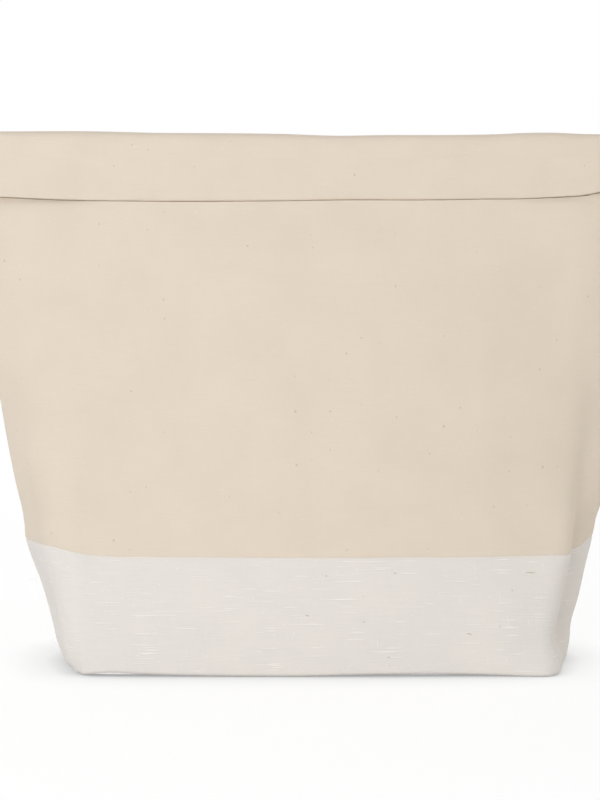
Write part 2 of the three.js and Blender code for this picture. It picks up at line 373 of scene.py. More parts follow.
@dataclass(frozen=True)
class Relief:
    """How the real cloth strays from the clean form: hollows, soft creases and lean."""

    form: BagForm
    hollow_depth: float = 0.9 * MM
    hollow_waves: Point = (13.0, 13.0, 9.0)
    dent_depth: float = 0.32 * MM
    dent_waves: Point = (45.0, 45.0, 30.0)
    drape_depth: float = 0.3 * MM
    drape_waves: Point = (75.0, 75.0, 10.0)
    calm_from: float = 200 * MM
    calm_to: float = 223 * MM
    seam_groove: float = 0.5 * MM
    seam_spread: float = 1.6 * MM
    under_band_spread: float = 32 * MM
    under_band_edge: float = 0.40 * MM
    under_band_over: float = 0.22 * MM
    seam_clear: float = 4 * MM
    groove_fade: float = 60 * MM
    lean_from: float = 104 * MM
    lean_reach: float = 20 * MM
    body_roll_from: float = 84 * MM
    body_roll_slope: float = 0.22
    body_roll_low: float = 0.35
    body_roll_top: float = 170 * MM
    body_roll_fade: float = 50 * MM
    base_roll_from: float = 99 * MM
    base_roll_slope: float = 0.20
    base_roll_top: float = 45 * MM
    base_roll_fade: float = 35 * MM
    roll_foot: float = 16 * MM
    roll_to: float = 121 * MM
    roll_ease: float = 5 * MM
    roll_clear: float = 20 * MM
    corner_at: float = 115 * MM
    corner_drift: float = 0.16
    corner_spread: float = 9 * MM
    corner_depth: float = 16 * MM
    rise_reach: float = 60 * MM
    left_recess: float = 0.30
    right_recess: float = 0.20
    recess_tall: float = 3.0 * MM
    mid_from: float = 82 * MM
    mid_fade: float = 45 * MM
    mouth_press: float = 3.4 * MM
    belly: float = 3.2 * MM
    belly_half_width: float = 122 * MM
    belly_at_foot: float = 0.3
    belly_rise: float = 70 * MM
    end_from: float = 131 * MM
    end_reach: float = 14 * MM
    band_stray: float = 0.45 * MM
    band_broad: Point = (16.0, 1.0, 20.0)
    band_fine: Point = (50.0, 1.0, 30.0)
    band_fine_share: float = 0.5

    # Lean of the side seams, outward above 0, by height
    LEFT_LEAN = knots(
        (0, -3.7), (2, -2.8), (5, -1.7), (10, -0.4), (19, 0), (39, 0.9), (50, 2.5), (58, 3.0),
        (64, 1.9), (74, 1.0), (82, 1.0), (109, 0.7), (150, 0),
    )
    RIGHT_LEAN = knots(
        (0, -1.5), (3, -0.6), (9, 0.3), (19, -0.7), (30, -0.3), (45, -0.3), (55, 0.3), (60, 0.3),
        (65, 0), (72, 0.6), (85, 0.2), (120, 0),
    )
    # How far the front corners stand out, by height
    LEFT_CORNER = knots((0, -3.4), (8, -1.6), (25, 0), (60, 0))
    RIGHT_CORNER = knots((0, 1.0), (12, 1.6), (30, 2.4), (57, 4.4), (80, 2.4), (115, 0), (130, 0))
    # How far the wall swells forward just under the band, along X
    UNDER_BAND = knots(
        (-150, 5.0), (-120, 5.6), (-90, 6.4), (-70, 6.6), (60, 6.6), (80, 6.3), (100, 5.9), (150, 5.4),
    )
    # How far the seam between base and walls rises, along X
    SEAM = knots(
        (-150, 3.8), (-141, 4.1), (-134, 4.4), (-126, 4.6), (-116, 2.6), (-109, 1.2), (-103, 0.5),
        (-93, 0.1), (-85, 0), (-75, 0), (110, 0), (118, 0), (126, 0), (132, 1.0), (138, 5.0), (150, 5.3),
    )
    # How far the ridge of the fold lies under its highest place, along X
    RIDGE = knots(
        (-170, -0.6), (-104, -0.7), (-75, 0), (-55, 0.1), (-16, 0.5), (14, 1.4), (33, 1.1), (72, 1.0),
        (92, 0.6), (102, 0.1), (121, 0), (131, 0.5), (170, 0.4),
    )
    # How far the edge of the outer lip is drawn up, along X
    HEM = knots(
        (-175, 2.3), (-153, 1.7), (-133, 0.7), (-94, -0.3), (-16, -0.3), (10, 0.1), (62, 0.2),
        (85, 0.6), (101, 0.8), (111, 1.2), (121, 1.7), (131, 2.3), (141, 4.0), (170, 5.5),
    )

    def outward(self, points: np.ndarray) -> np.ndarray:
        """How far the cloth stands out from the clean form.

        Args:
            points: places on the clean outer face.

        Returns:
            A distance for each point, outward above 0.
        """
        x, y, z = points[..., 0], points[..., 1], points[..., 2]
        calm = 1.0 - ease((z - self.calm_from) / (self.calm_to - self.calm_from))
        stray = self.hollow_depth * noise_field(points, self.hollow_waves, Pattern.HOLLOW)
        stray += self.dent_depth * noise_field(points, self.dent_waves, Pattern.DENT)
        rising = ease((z - self.form.seam_height) / (self.form.neck_height - self.form.seam_height))
        stray += self.drape_depth * rising * noise_field(points, self.drape_waves, Pattern.DRAPE)
        under_neck = ease((self.form.neck_height - z) / self.groove_fade)
        groove = self.seam_groove * hump(y, 0.0, self.seam_spread) * under_neck
        near_side = ease((np.abs(x) - self.lean_from) / self.lean_reach)
        lean = np.where(x < 0, eased_line(self.LEFT_LEAN, z), eased_line(self.RIGHT_LEAN, z))
        below = self.form.neck_height + self.hem_lift(x) - z
        swell = eased_line(self.UNDER_BAND, x) * hump(below, 0.0, self.under_band_spread)
        swell *= ease((below + self.under_band_over) / self.under_band_edge) * ease(-y / self.seam_clear)
        across = np.clip(np.abs(x) / self.belly_half_width, 0.0, 1.0)
        full = mix(self.belly_at_foot, 1.0, ease(z / self.belly_rise)) * calm
        belly = self.belly * full * (1 + np.cos(math.pi * across)) / 2
        recess = np.where(x < 0, self.left_recess, self.right_recess) * (1.0 - self.mid_share(x))
        swell *= 1.0 - recess * np.exp(-np.abs(below) / self.recess_tall)
        shaped = self.corner_push(x, y, z) - self.right_roll(x, y, z)
        return stray * calm - groove + near_side * lean + swell + belly + shaped

    def right_roll(self, x: np.ndarray, y: np.ndarray, z: np.ndarray) -> np.ndarray:
        """How far the front rolls back before its right corner."""
        on_base = 1.0 - ease((z - self.base_roll_top) / self.base_roll_fade)
        off_floor = ease(z / self.roll_foot)
        on_body = mix(self.body_roll_low, 1.0, 1.0 - on_base)
        on_body = on_body * (1.0 - ease((z - self.body_roll_top) / self.body_roll_fade))
        past_corner = self.eased_ramp(x - self.roll_to)
        body = self.body_roll_slope * (self.eased_ramp(x - self.body_roll_from) - past_corner) * on_body
        base = self.base_roll_slope * (self.eased_ramp(x - self.base_roll_from) - past_corner) * on_base
        return (body + base) * off_floor * ease(-y / self.roll_clear)

    def eased_ramp(self, past: np.ndarray) -> np.ndarray:
        """0 before a place and rising evenly after it, with a soft start."""
        return (past + np.sqrt(past ** 2 + self.roll_ease ** 2)) / 2

    def corner_push(self, x: np.ndarray, y: np.ndarray, z: np.ndarray) -> np.ndarray:
        """How far the front corners stand out: the right is sharp, and the left is soft at its foot."""
        reach = np.where(x < 0, eased_line(self.LEFT_CORNER, z), eased_line(self.RIGHT_CORNER, z))
        near = hump(np.abs(x), self.corner_at + self.corner_drift * z, self.corner_spread)
        return reach * near * ease((-y - self.corner_depth) / self.corner_depth)

    def mid_share(self, x: np.ndarray) -> np.ndarray:
        """1 over the middle of the band, and 0 towards its ends."""
        return 1.0 - ease((np.abs(x) - self.mid_from) / self.mid_fade)

    def risen(self, points: np.ndarray) -> np.ndarray:
        """The points with the cloth drawn up where the seam of the base rises."""
        x, z = points[..., 0], points[..., 2]
        seam = self.form.seam_height
        under = np.clip(z / seam, 0.0, 1.0) ** 2
        over = 1.0 - ease((z - seam) / self.rise_reach)
        moved = points.copy()
        moved[..., 2] = z + eased_line(self.SEAM, x) * np.where(z < seam, under, over)
        return moved

    def ridge_drop(self, x: np.ndarray) -> np.ndarray:
        """How far the top of the fold lies under its highest place."""
        return eased_line(self.RIDGE, x)

    def hem_lift(self, x: np.ndarray) -> np.ndarray:
        """How far the edge of the outer lip is drawn up."""
        return eased_line(self.HEM, x)

    def clear_of_ends(self, x: np.ndarray) -> np.ndarray:
        """1 over the middle of the mouth, and 0 at its two ends."""
        return 1.0 - ease((np.abs(x) - self.end_from) / self.end_reach)

    def press(self, innermost: np.ndarray) -> np.ndarray:
        """How far the outer lip is pressed back on the inner one, so that its layers never meet.

        Args:
            innermost: the lip's innermost outline, whose Y is half the gap of the mouth.

        Returns:
            A distance for each column.
        """
        gap = np.abs(innermost[:, 1])
        return self.mouth_press * ease(gap / gap.max())

    def band_stand(self, x: np.ndarray, z: np.ndarray) -> np.ndarray:
        """How far the face of the band stands forward of its clean form, never behind it."""
        places = np.stack(np.broadcast_arrays(x, 0.0 * x, z), axis=-1)
        soft = noise_field(places, self.band_broad, Pattern.BAND_BROAD)
        soft += self.band_fine_share * noise_field(places, self.band_fine, Pattern.BAND_FINE)
        return self.band_stray * (1.0 + soft) * self.clear_of_ends(x)


def normals_of(outline: np.ndarray) -> np.ndarray:
    """Unit vectors that point out of a half outline, level."""
    along = np.gradient(outline, axis=0)
    out = np.column_stack([along[:, 1], -along[:, 0]])
    out[0] = (-1.0, 0.0)
    out[-1] = (1.0, 0.0)
    return out / np.linalg.norm(out, axis=1, keepdims=True)


class Cloth:
    """Places points of any layer of the bag, with the relief of the real cloth."""

    def __init__(self, form: BagForm) -> None:
        """Keeps the form and its relief.

        Args:
            form: the shape of the sewn cloth.
        """
        self.form = form
        self.relief = Relief(form)

    def row(self, face: Face, height: float, depth: float) -> np.ndarray:
        """One level line of a wall layer.

        Args:
            face: the half of the bag.
            height: the level.
            depth: how far the layer lies under the outer face.

        Returns:
            An array of columns by 3.
        """
        section = self.form.section(height)
        outer = section.half(self.form.columns)
        out = normals_of(outer)
        flip = np.array([1.0, -face.towards])
        level = np.full((len(outer), 1), height)
        places = np.hstack([outer * flip, level])
        layer = section.inset(depth).half(self.form.columns)
        moved = (layer + out * self.relief.outward(places)[:, None]) * flip
        return np.hstack([moved, level])

    def ring(self, height: float, depth: float) -> np.ndarray:
        """A closed level line round the bag, from the left seam along the front and back."""
        front = self.row(Face.FRONT, height, depth)
        back = self.row(Face.BACK, height, depth)[::-1]
        return np.vstack([front, back[1:-1]])

    def lip_row(self, depth: float) -> np.ndarray:
        """The level outline of a lip's layer about its own middle plane, with Y below 0."""
        return self.form.lip_section.inset(depth).half(self.form.columns)

    def lip_press(self) -> np.ndarray:
        """How far each column of the outer lip is pressed back on the inner one."""
        return self.relief.press(self.lip_row(self.form.layers.facing_at + self.form.layers.canvas))


def drawn_in(ring: np.ndarray, shares: np.ndarray) -> list[np.ndarray]:
    """Copies of a ring that are drawn in towards the middle, to shares of its size."""
    return [ring * np.array([share, share, 1.0]) for share in shares]


def lengths_along(points: np.ndarray) -> np.ndarray:
    """The running length along the first axis of an array of points."""
    steps = np.linalg.norm(np.diff(points, axis=0), axis=-1)
    start = np.zeros((1,) + steps.shape[1:])
    return np.concatenate([start, np.cumsum(steps, axis=0)])


def facing_out(points: np.ndarray, faces: np.ndarray) -> bool:
    """Whether four-cornered faces enclose their volume the right way round."""
    a, b, c, d = (points[faces[:, i]] for i in range(4))
    volume = np.einsum("ij,ij->i", a, np.cross(b, c)) + np.einsum("ij,ij->i", a, np.cross(c, d))
    return float(volume.sum()) > 0.0


def closing_strip(count: int) -> np.ndarray:
    """Four-cornered faces that close a ring of points, from one of its sides to the other."""
    near = np.arange(count // 2 - 1)
    return np.stack([near, near + 1, count - 2 - near, count - 1 - near], axis=-1)


def linked(name: str, data: bpy.types.ID) -> Piece:
    """A new object in the scene.

    Args:
        name: the object's name.
        data: its mesh, light or camera.

    Returns:
        The object.
    """
    made = bpy.data.objects.new(name, data)
    bpy.context.scene.collection.objects.link(made)
    return made


class MeshMaker:
    """Turns arrays of points into mesh objects."""

    SHARP = math.radians(38)
    STEEP = 0.9
    THREAD_SIDES = 6
    FIBRE_SIDES = 4

    @classmethod
    def build(cls, name: str, points: np.ndarray, faces: np.ndarray, uv: np.ndarray) -> Piece:
        """A mesh object of four-cornered faces.

        Args:
            name: the piece's name.
            points: an array of points by 3.
            faces: an array of faces by 4.
            uv: the place on the cloth of each corner of each face, faces by 4 by 2.

        Returns:
            The linked object.
        """
        if not facing_out(points, faces):
            faces, uv = faces[:, ::-1], uv[:, ::-1]
        mesh = bpy.data.meshes.new(name)
        mesh.from_pydata(points.tolist(), [], faces.tolist())
        layer = mesh.uv_layers.new(name="cloth")
        layer.data.foreach_set("uv", np.ascontiguousarray(uv, dtype=np.float32).ravel())
        mesh.shade_smooth()
        mesh.set_sharp_from_angle(angle=cls.SHARP)
        return linked(name, mesh)

    @classmethod
    def carried(cls, name: str, points: np.ndarray) -> Piece:
        """A closed solid from a profile that runs along one face and back along the other.

        Args:
            name: the piece's name.
            points: an array of profile corners by columns by 3.

        Returns:
            The linked object.
        """
        sides, count = points.shape[:2]
        index = np.arange(sides * count).reshape(sides, count)
        following = np.roll(index, -1, axis=0)
        walls = np.stack(
            [index[:, :-1], index[:, 1:], following[:, 1:], following[:, :-1]], axis=-1
        ).reshape(-1, 4)
        strip = closing_strip(sides)
        first, last = strip * count, strip[:, ::-1] * count + count - 1
        faces = np.vstack([walls, first, last])
        middle = count // 2
        along = lengths_along(points.transpose(1, 0, 2)).T
        along = along - along[:, middle:middle + 1]
        closed = np.concatenate([points[:, middle], points[:1, middle]])
        up = lengths_along(closed)
        # The second half of the profile is the back of the cloth, and reads the same threads.
        turn = sides // 2
        up = np.where(np.arange(sides + 1) < turn, up, up[turn - 1] + up[turn] - up) if sides > 4 else up
        beyond = np.roll(along, -1, 0)
        u = np.stack([along[:, :-1], along[:, 1:], beyond[:, 1:], beyond[:, :-1]], -1)
        v = np.stack([up[:-1], up[:-1], up[1:], up[1:]], -1)[:, None, :].repeat(count - 1, axis=1)
        wall_uv = np.stack([u, v], axis=-1).reshape(-1, 4, 2)
        flat_u, flat_v = along.ravel(), up[:-1].repeat(count)
        cap_uv = np.stack([flat_u[faces[len(walls):]], flat_v[faces[len(walls):]]], axis=-1)
        return cls.build(name, points.reshape(-1, 3), faces, np.vstack([wall_uv, cap_uv]))

    @classmethod
    def stacked(cls, name: str, rings: np.ndarray, flat_rows: Callable[[int], bool]) -> Piece:
        """A closed solid of stacked rings, whose first and last ring are closed by strips.

        Args:
            name: the piece's name.
            rings: an array of rings by columns by 3.
            flat_rows: says whether the band above a ring lies flat, so that its cloth is
                read by X and Y.

        Returns:
            The linked object.
        """
        count = rings.shape[1]
        rows = rings.shape[0]
        index = np.arange(rows * count).reshape(rows, count)
        beside = np.roll(index, -1, axis=1)
        faces = np.stack([index[:-1], beside[:-1], beside[1:], index[1:]], axis=-1)
        loop = np.concatenate([rings, rings[:, :1]], axis=1)
        along = lengths_along(loop.transpose(1, 0, 2)).T
        up = lengths_along(rings[:, 0])
        uv = np.empty(faces.shape + (2,))
        uv[..., 0, 0], uv[..., 1, 0] = along[:-1, :-1], along[:-1, 1:]
        uv[..., 2, 0], uv[..., 3, 0] = along[1:, 1:], along[1:, :-1]
        uv[..., 0:2, 1] = up[:-1, None, None]
        uv[..., 2:4, 1] = up[1:, None, None]
        points = rings.reshape(-1, 3)
        for row in range(rows - 1):
            if flat_rows(row):
                uv[row] = points[faces[row]][..., :2]
        faces, uv = faces.reshape(-1, 4), uv.reshape(-1, 4, 2)
        strip = closing_strip(count)
        top = strip + (rows - 1) * count
        ends = np.vstack([strip[:, ::-1], top])
        end_uv = points[ends][..., :2]
        return cls.build(name, points, np.vstack([faces, ends]), np.vstack([uv, end_uv]))

    @classmethod
    def strands(
        cls, name: str, paths: Sequence[np.ndarray], radii: Sequence[np.ndarray], sides: int
    ) -> Piece:
        """Many closed strands in one mesh.

        Args:
            name: the piece's name.
            paths: for each strand, an array of points by 3.
            radii: for each strand, its radius at each point.
            sides: how many sides a strand has, an even number.

        Returns:
            The linked object.
        """
        points, faces, uv = [], [], []
        start = 0
        angles = np.linspace(0.0, 2 * math.pi, sides, endpoint=False)
        for path, radius in zip(paths, radii):
            along = np.gradient(path, axis=0)
            along /= np.linalg.norm(along, axis=1, keepdims=True)
            helper = np.where(np.abs(along[:, 2:3]) < cls.STEEP, [[0.0, 0.0, 1.0]], [[1.0, 0.0, 0.0]])
            across = np.cross(along, helper)
            across /= np.linalg.norm(across, axis=1, keepdims=True)
            other = np.cross(along, across)
            rings = (
                path[:, None]
                + radius[:, None, None] * (np.cos(angles)[None, :, None] * across[:, None]
                                           + np.sin(angles)[None, :, None] * other[:, None])
            )
            count = len(path)
            index = start + np.arange(count * sides).reshape(count, sides)
            beside = np.roll(index, -1, axis=1)
            walls = np.stack([index[:-1], index[1:], beside[1:], beside[:-1]], axis=-1).reshape(-1, 4)
            strip = closing_strip(sides) + start
            ends = np.vstack([strip, strip[:, ::-1] + (count - 1) * sides])
            made = np.vstack([walls, ends])
            points.append(rings.reshape(-1, 3))
            faces.append(made)
            uv.append(rings.reshape(-1, 3)[made - start][..., [0, 2]])
            start += count * sides
        return cls.build(name, np.vstack(points), np.vstack(faces), np.vstack(uv))


class NodeSheet:
    """A short way to place and join the nodes of a material or a node group."""

    # The share and the two colours among the inputs of a mix node
    MIX_INPUTS = (0, 6, 7)

    def __init__(self, tree: Tree) -> None:
        """Keeps the tree.

        Args:
            tree: where the nodes go.
        """
        self.tree = tree

    @classmethod
    def emptied(cls, owner: bpy.types.Material | bpy.types.World) -> "NodeSheet":
        """The sheet of a new material or world, with no node on it yet."""
        owner.use_nodes = True
        owner.node_tree.nodes.clear()
        return cls(owner.node_tree)

    @classmethod
    def for_cloth(cls, name: str) -> tuple[bpy.types.Material, "NodeSheet", Socket]:
        """A new material, its sheet and the socket that gives the place on the cloth."""
        material = bpy.data.materials.new(name)
        sheet = cls.emptied(material)
        return material, sheet, sheet.add("ShaderNodeUVMap", {"uv_map": "cloth"}).outputs[0]

    def add(self, kind: str, settings: Optional[dict] = None, **inputs: object) -> Node:
        """A node of a kind, with its settings and inputs.

        Args:
            kind: the node's type.
            settings: its properties.
            inputs: its sockets by name, with an underscore for each space, or in0 and so
                on by place. A socket joins, and anything else is set.

        Returns:
            The node.
        """
        node = self.tree.nodes.new(kind)
        for name, value in (settings or {}).items():
            setattr(node, name, value)
        for name, value in inputs.items():
            key: object = int(name[2:]) if name[:2] == "in" and name[2:].isdigit() else name.replace("_", " ")
            self._fill(node.inputs[key], value)
        return node

    def _fill(self, socket: Socket, value: object) -> None:
        """Joins a socket to another one, or sets it to a value."""
        if isinstance(value, Socket):
            self.tree.links.new(value, socket)
        else:
            socket.default_value = value

    def give(self, outward: Node, **values: Socket) -> None:
        """Joins values to a group's outputs, by name."""
        for name, value in values.items():
            self.tree.links.new(value, outward.inputs[name])

    def math(
        self, operation: str, first: object, second: object = 0.0, held: bool = False
    ) -> Socket:
        """The result of an arithmetic node."""
        settings = {"operation": operation, "use_clamp": held}
        return self.add("ShaderNodeMath", settings, in0=first, in1=second).outputs[0]

    def times(self, first: object, second: object) -> Socket:
        """The product of two values."""
        return self.math("MULTIPLY", first, second)

    def noise(
        self, place: object, waves: object, detail: float = 2.0, roughness: float = 0.5
    ) -> Node:
        """Noise over the flat cloth."""
        return self.add(
            "ShaderNodeTexNoise", {"noise_dimensions": "2D"},
            Vector=place, Scale=waves, Detail=detail, Roughness=roughness,
        )

    def scaled(self, inward: Node, across: str, up: str) -> Socket:
        """The cloth's place times the waves or cells that two inputs give."""
        scale = self.add("ShaderNodeCombineXYZ", in0=inward.outputs[across], in1=inward.outputs[up])
        cloth = inward.outputs["Cloth"]
        node = self.add("ShaderNodeVectorMath", {"operation": "MULTIPLY"}, in0=cloth, in1=scale.outputs[0])
        return node.outputs[0]

    def blend(self, share: object, first: object, second: object) -> Socket:
        """A colour between two others, each a socket or red, green and blue."""
        node = self.add("ShaderNodeMix", {"data_type": "RGBA"})
        for number, value in zip(self.MIX_INPUTS, (share, first, second)):
            self._fill(node.inputs[number], (*value, 1.0) if isinstance(value, tuple) else value)
        return node.outputs[2]

    def spread(
        self, value: object, low: object, high: object, to_low: float = 0.0, to_high: float = 1.0
    ) -> Socket:
        """A value stretched from one range to another, held at its ends."""
        return self.add(
            "ShaderNodeMapRange", {"clamp": True}, in0=value, in1=low, in2=high, in3=to_low, in4=to_high
        ).outputs[0]


class ShaderGroups:
    """The node groups that the finishes share, each built once.

    Waves are for each metre of cloth, and ranges are low and high ends.
    """

    NOISE_MIDDLE = 0.5
    DRIFT_WAVES = 140.0
    OVER_RANGE = (-0.6, 0.6)
    THREAD_UNDER = 0.45
    GAP_RANGE = (0.25, 0.6)
    STREAK_EDGE = 0.16
    STREAK_DETAIL = 1.5
    FLECK_BEND_WAVES = 7.0
    FLECK_BEND = (0.14, 0.14, 0.0)
    FLECK_SIZES = (0.35, 1.7)
    FLECK_EDGE = 0.5
    MOTTLE_RANGE = (0.3, 0.7)
    MOTTLE_ROUGHNESS = 0.55
    RIDGE_EDGE = 0.25
    FILM_WAVES = 420.0
    FILM_SHARE = 0.5

    def __init__(self) -> None:
        """Builds every group."""
        self.weave = self._weave()
        self.streaks = self._streaks()
        self.flecks = self._flecks()
        self.mottle = self._mottle()
        self.crinkle = self._crinkle()

    @staticmethod
    def _start(name: str, outputs: Sequence[str], vectors: Sequence[str] = (), **numbers: float) -> tuple:
        """A new group with its sockets, of which the first is the place on the cloth.

        Args:
            name: the group's name.
            outputs: the names of the outputs, all plain numbers.
            vectors: the names of more inputs that are vectors.
            numbers: the plain inputs and their first values, with an underscore for each space.

        Returns:
            The group, its sheet, its input node and its output node.
        """
        group = bpy.data.node_groups.new(name, "ShaderNodeTree")
        plan = [("Cloth", "INPUT", "NodeSocketVector")]
        plan += [(label.replace("_", " "), "INPUT", "NodeSocketFloat") for label in numbers]
        plan += [(label, "INPUT", "NodeSocketVector") for label in vectors]
        plan += [(label, "OUTPUT", "NodeSocketFloat") for label in outputs]
        made = [group.interface.new_socket(label, in_out=way, socket_type=kind) for label, way, kind in plan]
        for socket, value in zip(made[1:], numbers.values()):
            socket.default_value = value
        sheet = NodeSheet(group)
        return group, sheet, sheet.add("NodeGroupInput"), sheet.add("NodeGroupOutput")

    def _weave(self) -> Tree:
        """Plain weave: threads that go over and under each other, a little uneven."""
        group, sheet, inward, outward = self._start(
            "plain_weave", ("Height", "Gap"), Warp_Pitch=0.8 * MM, Weft_Pitch=0.8 * MM, Drift=0.4 * MM
        )
        cloth = inward.outputs["Cloth"]
        parts = sheet.add("ShaderNodeSeparateXYZ", in0=cloth)
        stray = sheet.noise(cloth, self.DRIFT_WAVES)
        pull = sheet.add("ShaderNodeSeparateXYZ", in0=stray.outputs["Color"])
        waves = []
        for axis, pitch in ((0, "Warp Pitch"), (1, "Weft Pitch")):
            aside = sheet.math("SUBTRACT", pull.outputs[axis], self.NOISE_MIDDLE)
            shift = sheet.times(aside, inward.outputs["Drift"])
            place = sheet.math("DIVIDE", sheet.math("ADD", parts.outputs[axis], shift), inward.outputs[pitch])
            waves.append(sheet.math("SINE", sheet.times(place, math.pi)))
        warp, weft = (sheet.math("ABSOLUTE", wave) for wave in waves)
        over = sheet.times(waves[0], waves[1])
        warp_up = sheet.times(warp, sheet.spread(over, *self.OVER_RANGE, self.THREAD_UNDER, 1.0))
        weft_up = sheet.times(weft, sheet.spread(over, *self.OVER_RANGE, 1.0, self.THREAD_UNDER))
        height = sheet.math("MAXIMUM", warp_up, weft_up)
        sheet.give(outward, Height=height, Gap=sheet.spread(height, *self.GAP_RANGE, 1.0, 0.0))
        return group

    def _streaks(self) -> Tree:
        """Long thin marks along one thread direction, where a yarn runs thick, and painted shade: a line just
        beside each mark, where its relief would cast shadow.
        """
        group, sheet, inward, outward = self._start(
            "yarn_streaks", ("Mask", "Tone", "Beside"), ("Shift",),
            Waves_Across=80.0, Waves_Up=1200.0, Sparse=0.55,
        )
        place = sheet.scaled(inward, "Waves Across", "Waves Up")
        beside = sheet.add(
            "ShaderNodeVectorMath", {"operation": "ADD"}, in0=place, in1=inward.outputs["Shift"]
        )
        sparse = inward.outputs["Sparse"]
        high = sheet.math("ADD", sparse, self.STREAK_EDGE)
        tones, masks = [], []
        for where in (place, beside.outputs[0]):
            tones.append(sheet.noise(where, 1.0, self.STREAK_DETAIL).outputs[0])
            masks.append(sheet.spread(tones[-1], sparse, high))
        # Painted shade: the line just beside each thick yarn, where the yarn lies one shift away but not
        # here.
        painted_shade = sheet.math("SUBTRACT", masks[1], masks[0], held=True)
        sheet.give(outward, Mask=masks[0], Tone=tones[0], Beside=painted_shade)
        return group

    def _flecks(self) -> Tree:
        """Small scattered marks, one to a cell at most."""
        group, sheet, inward, outward = self._start(
            "scattered_flecks", ("Mask",), Cells_Across=150.0, Cells_Up=150.0, Radius=0.06, Share=0.2
        )
        place = sheet.scaled(inward, "Cells Across", "Cells Up")
        stray = sheet.noise(place, self.FLECK_BEND_WAVES, 1.0)
        bent = sheet.add(
            "ShaderNodeVectorMath", {"operation": "MULTIPLY_ADD"},
            in0=stray.outputs["Color"], in1=self.FLECK_BEND, in2=place,
        )
        cells = sheet.add(
            "ShaderNodeTexVoronoi", {"voronoi_dimensions": "2D"}, Vector=bent.outputs[0], Scale=1.0
        )
        chance = sheet.add("ShaderNodeSeparateXYZ", in0=cells.outputs["Color"])
        chosen = sheet.math("LESS_THAN", chance.outputs[0], inward.outputs["Share"])
        swing = sheet.spread(chance.outputs[1], 0.0, 1.0, *self.FLECK_SIZES)
        reach = sheet.times(inward.outputs["Radius"], swing)
        inside = sheet.math("SUBTRACT", 1.0, sheet.math("DIVIDE", cells.outputs["Distance"], reach))
        sheet.give(outward, Mask=sheet.times(chosen, sheet.spread(inside, 0.0, self.FLECK_EDGE)))
        return group

    def _mottle(self) -> Tree:
        """Broad soft patches of tone."""
        group, sheet, inward, outward = self._start("soft_mottle", ("Tone",), Waves=30.0)
        tone = sheet.noise(inward.outputs["Cloth"], inward.outputs["Waves"], 3.0, self.MOTTLE_ROUGHNESS)
        sheet.give(outward, Tone=sheet.spread(tone.outputs[0], *self.MOTTLE_RANGE))
        return group

    def _crinkle(self) -> Tree:
        """The fine creases of a film that has been handled."""
        group, sheet, inward, outward = self._start("film_crinkle", ("Height",), Cells=160.0)
        edges = sheet.add(
            "ShaderNodeTexVoronoi", {"voronoi_dimensions": "2D", "feature": "DISTANCE_TO_EDGE"},
            Vector=inward.outputs["Cloth"], Scale=inward.outputs["Cells"],
        )
        soft = sheet.noise(inward.outputs["Cloth"], self.FILM_WAVES)
        ridges = sheet.spread(edges.outputs[0], 0.0, self.RIDGE_EDGE)
        sheet.give(outward, Height=sheet.math("ADD", ridges, sheet.times(soft.outputs[0], self.FILM_SHARE)))
        return group


@dataclass(frozen=True)
class Thread:
    """The weave of a cloth: the pitch of its threads and how they stray."""

    warp_pitch: float
    weft_pitch: float
    drift: float
    relief: float


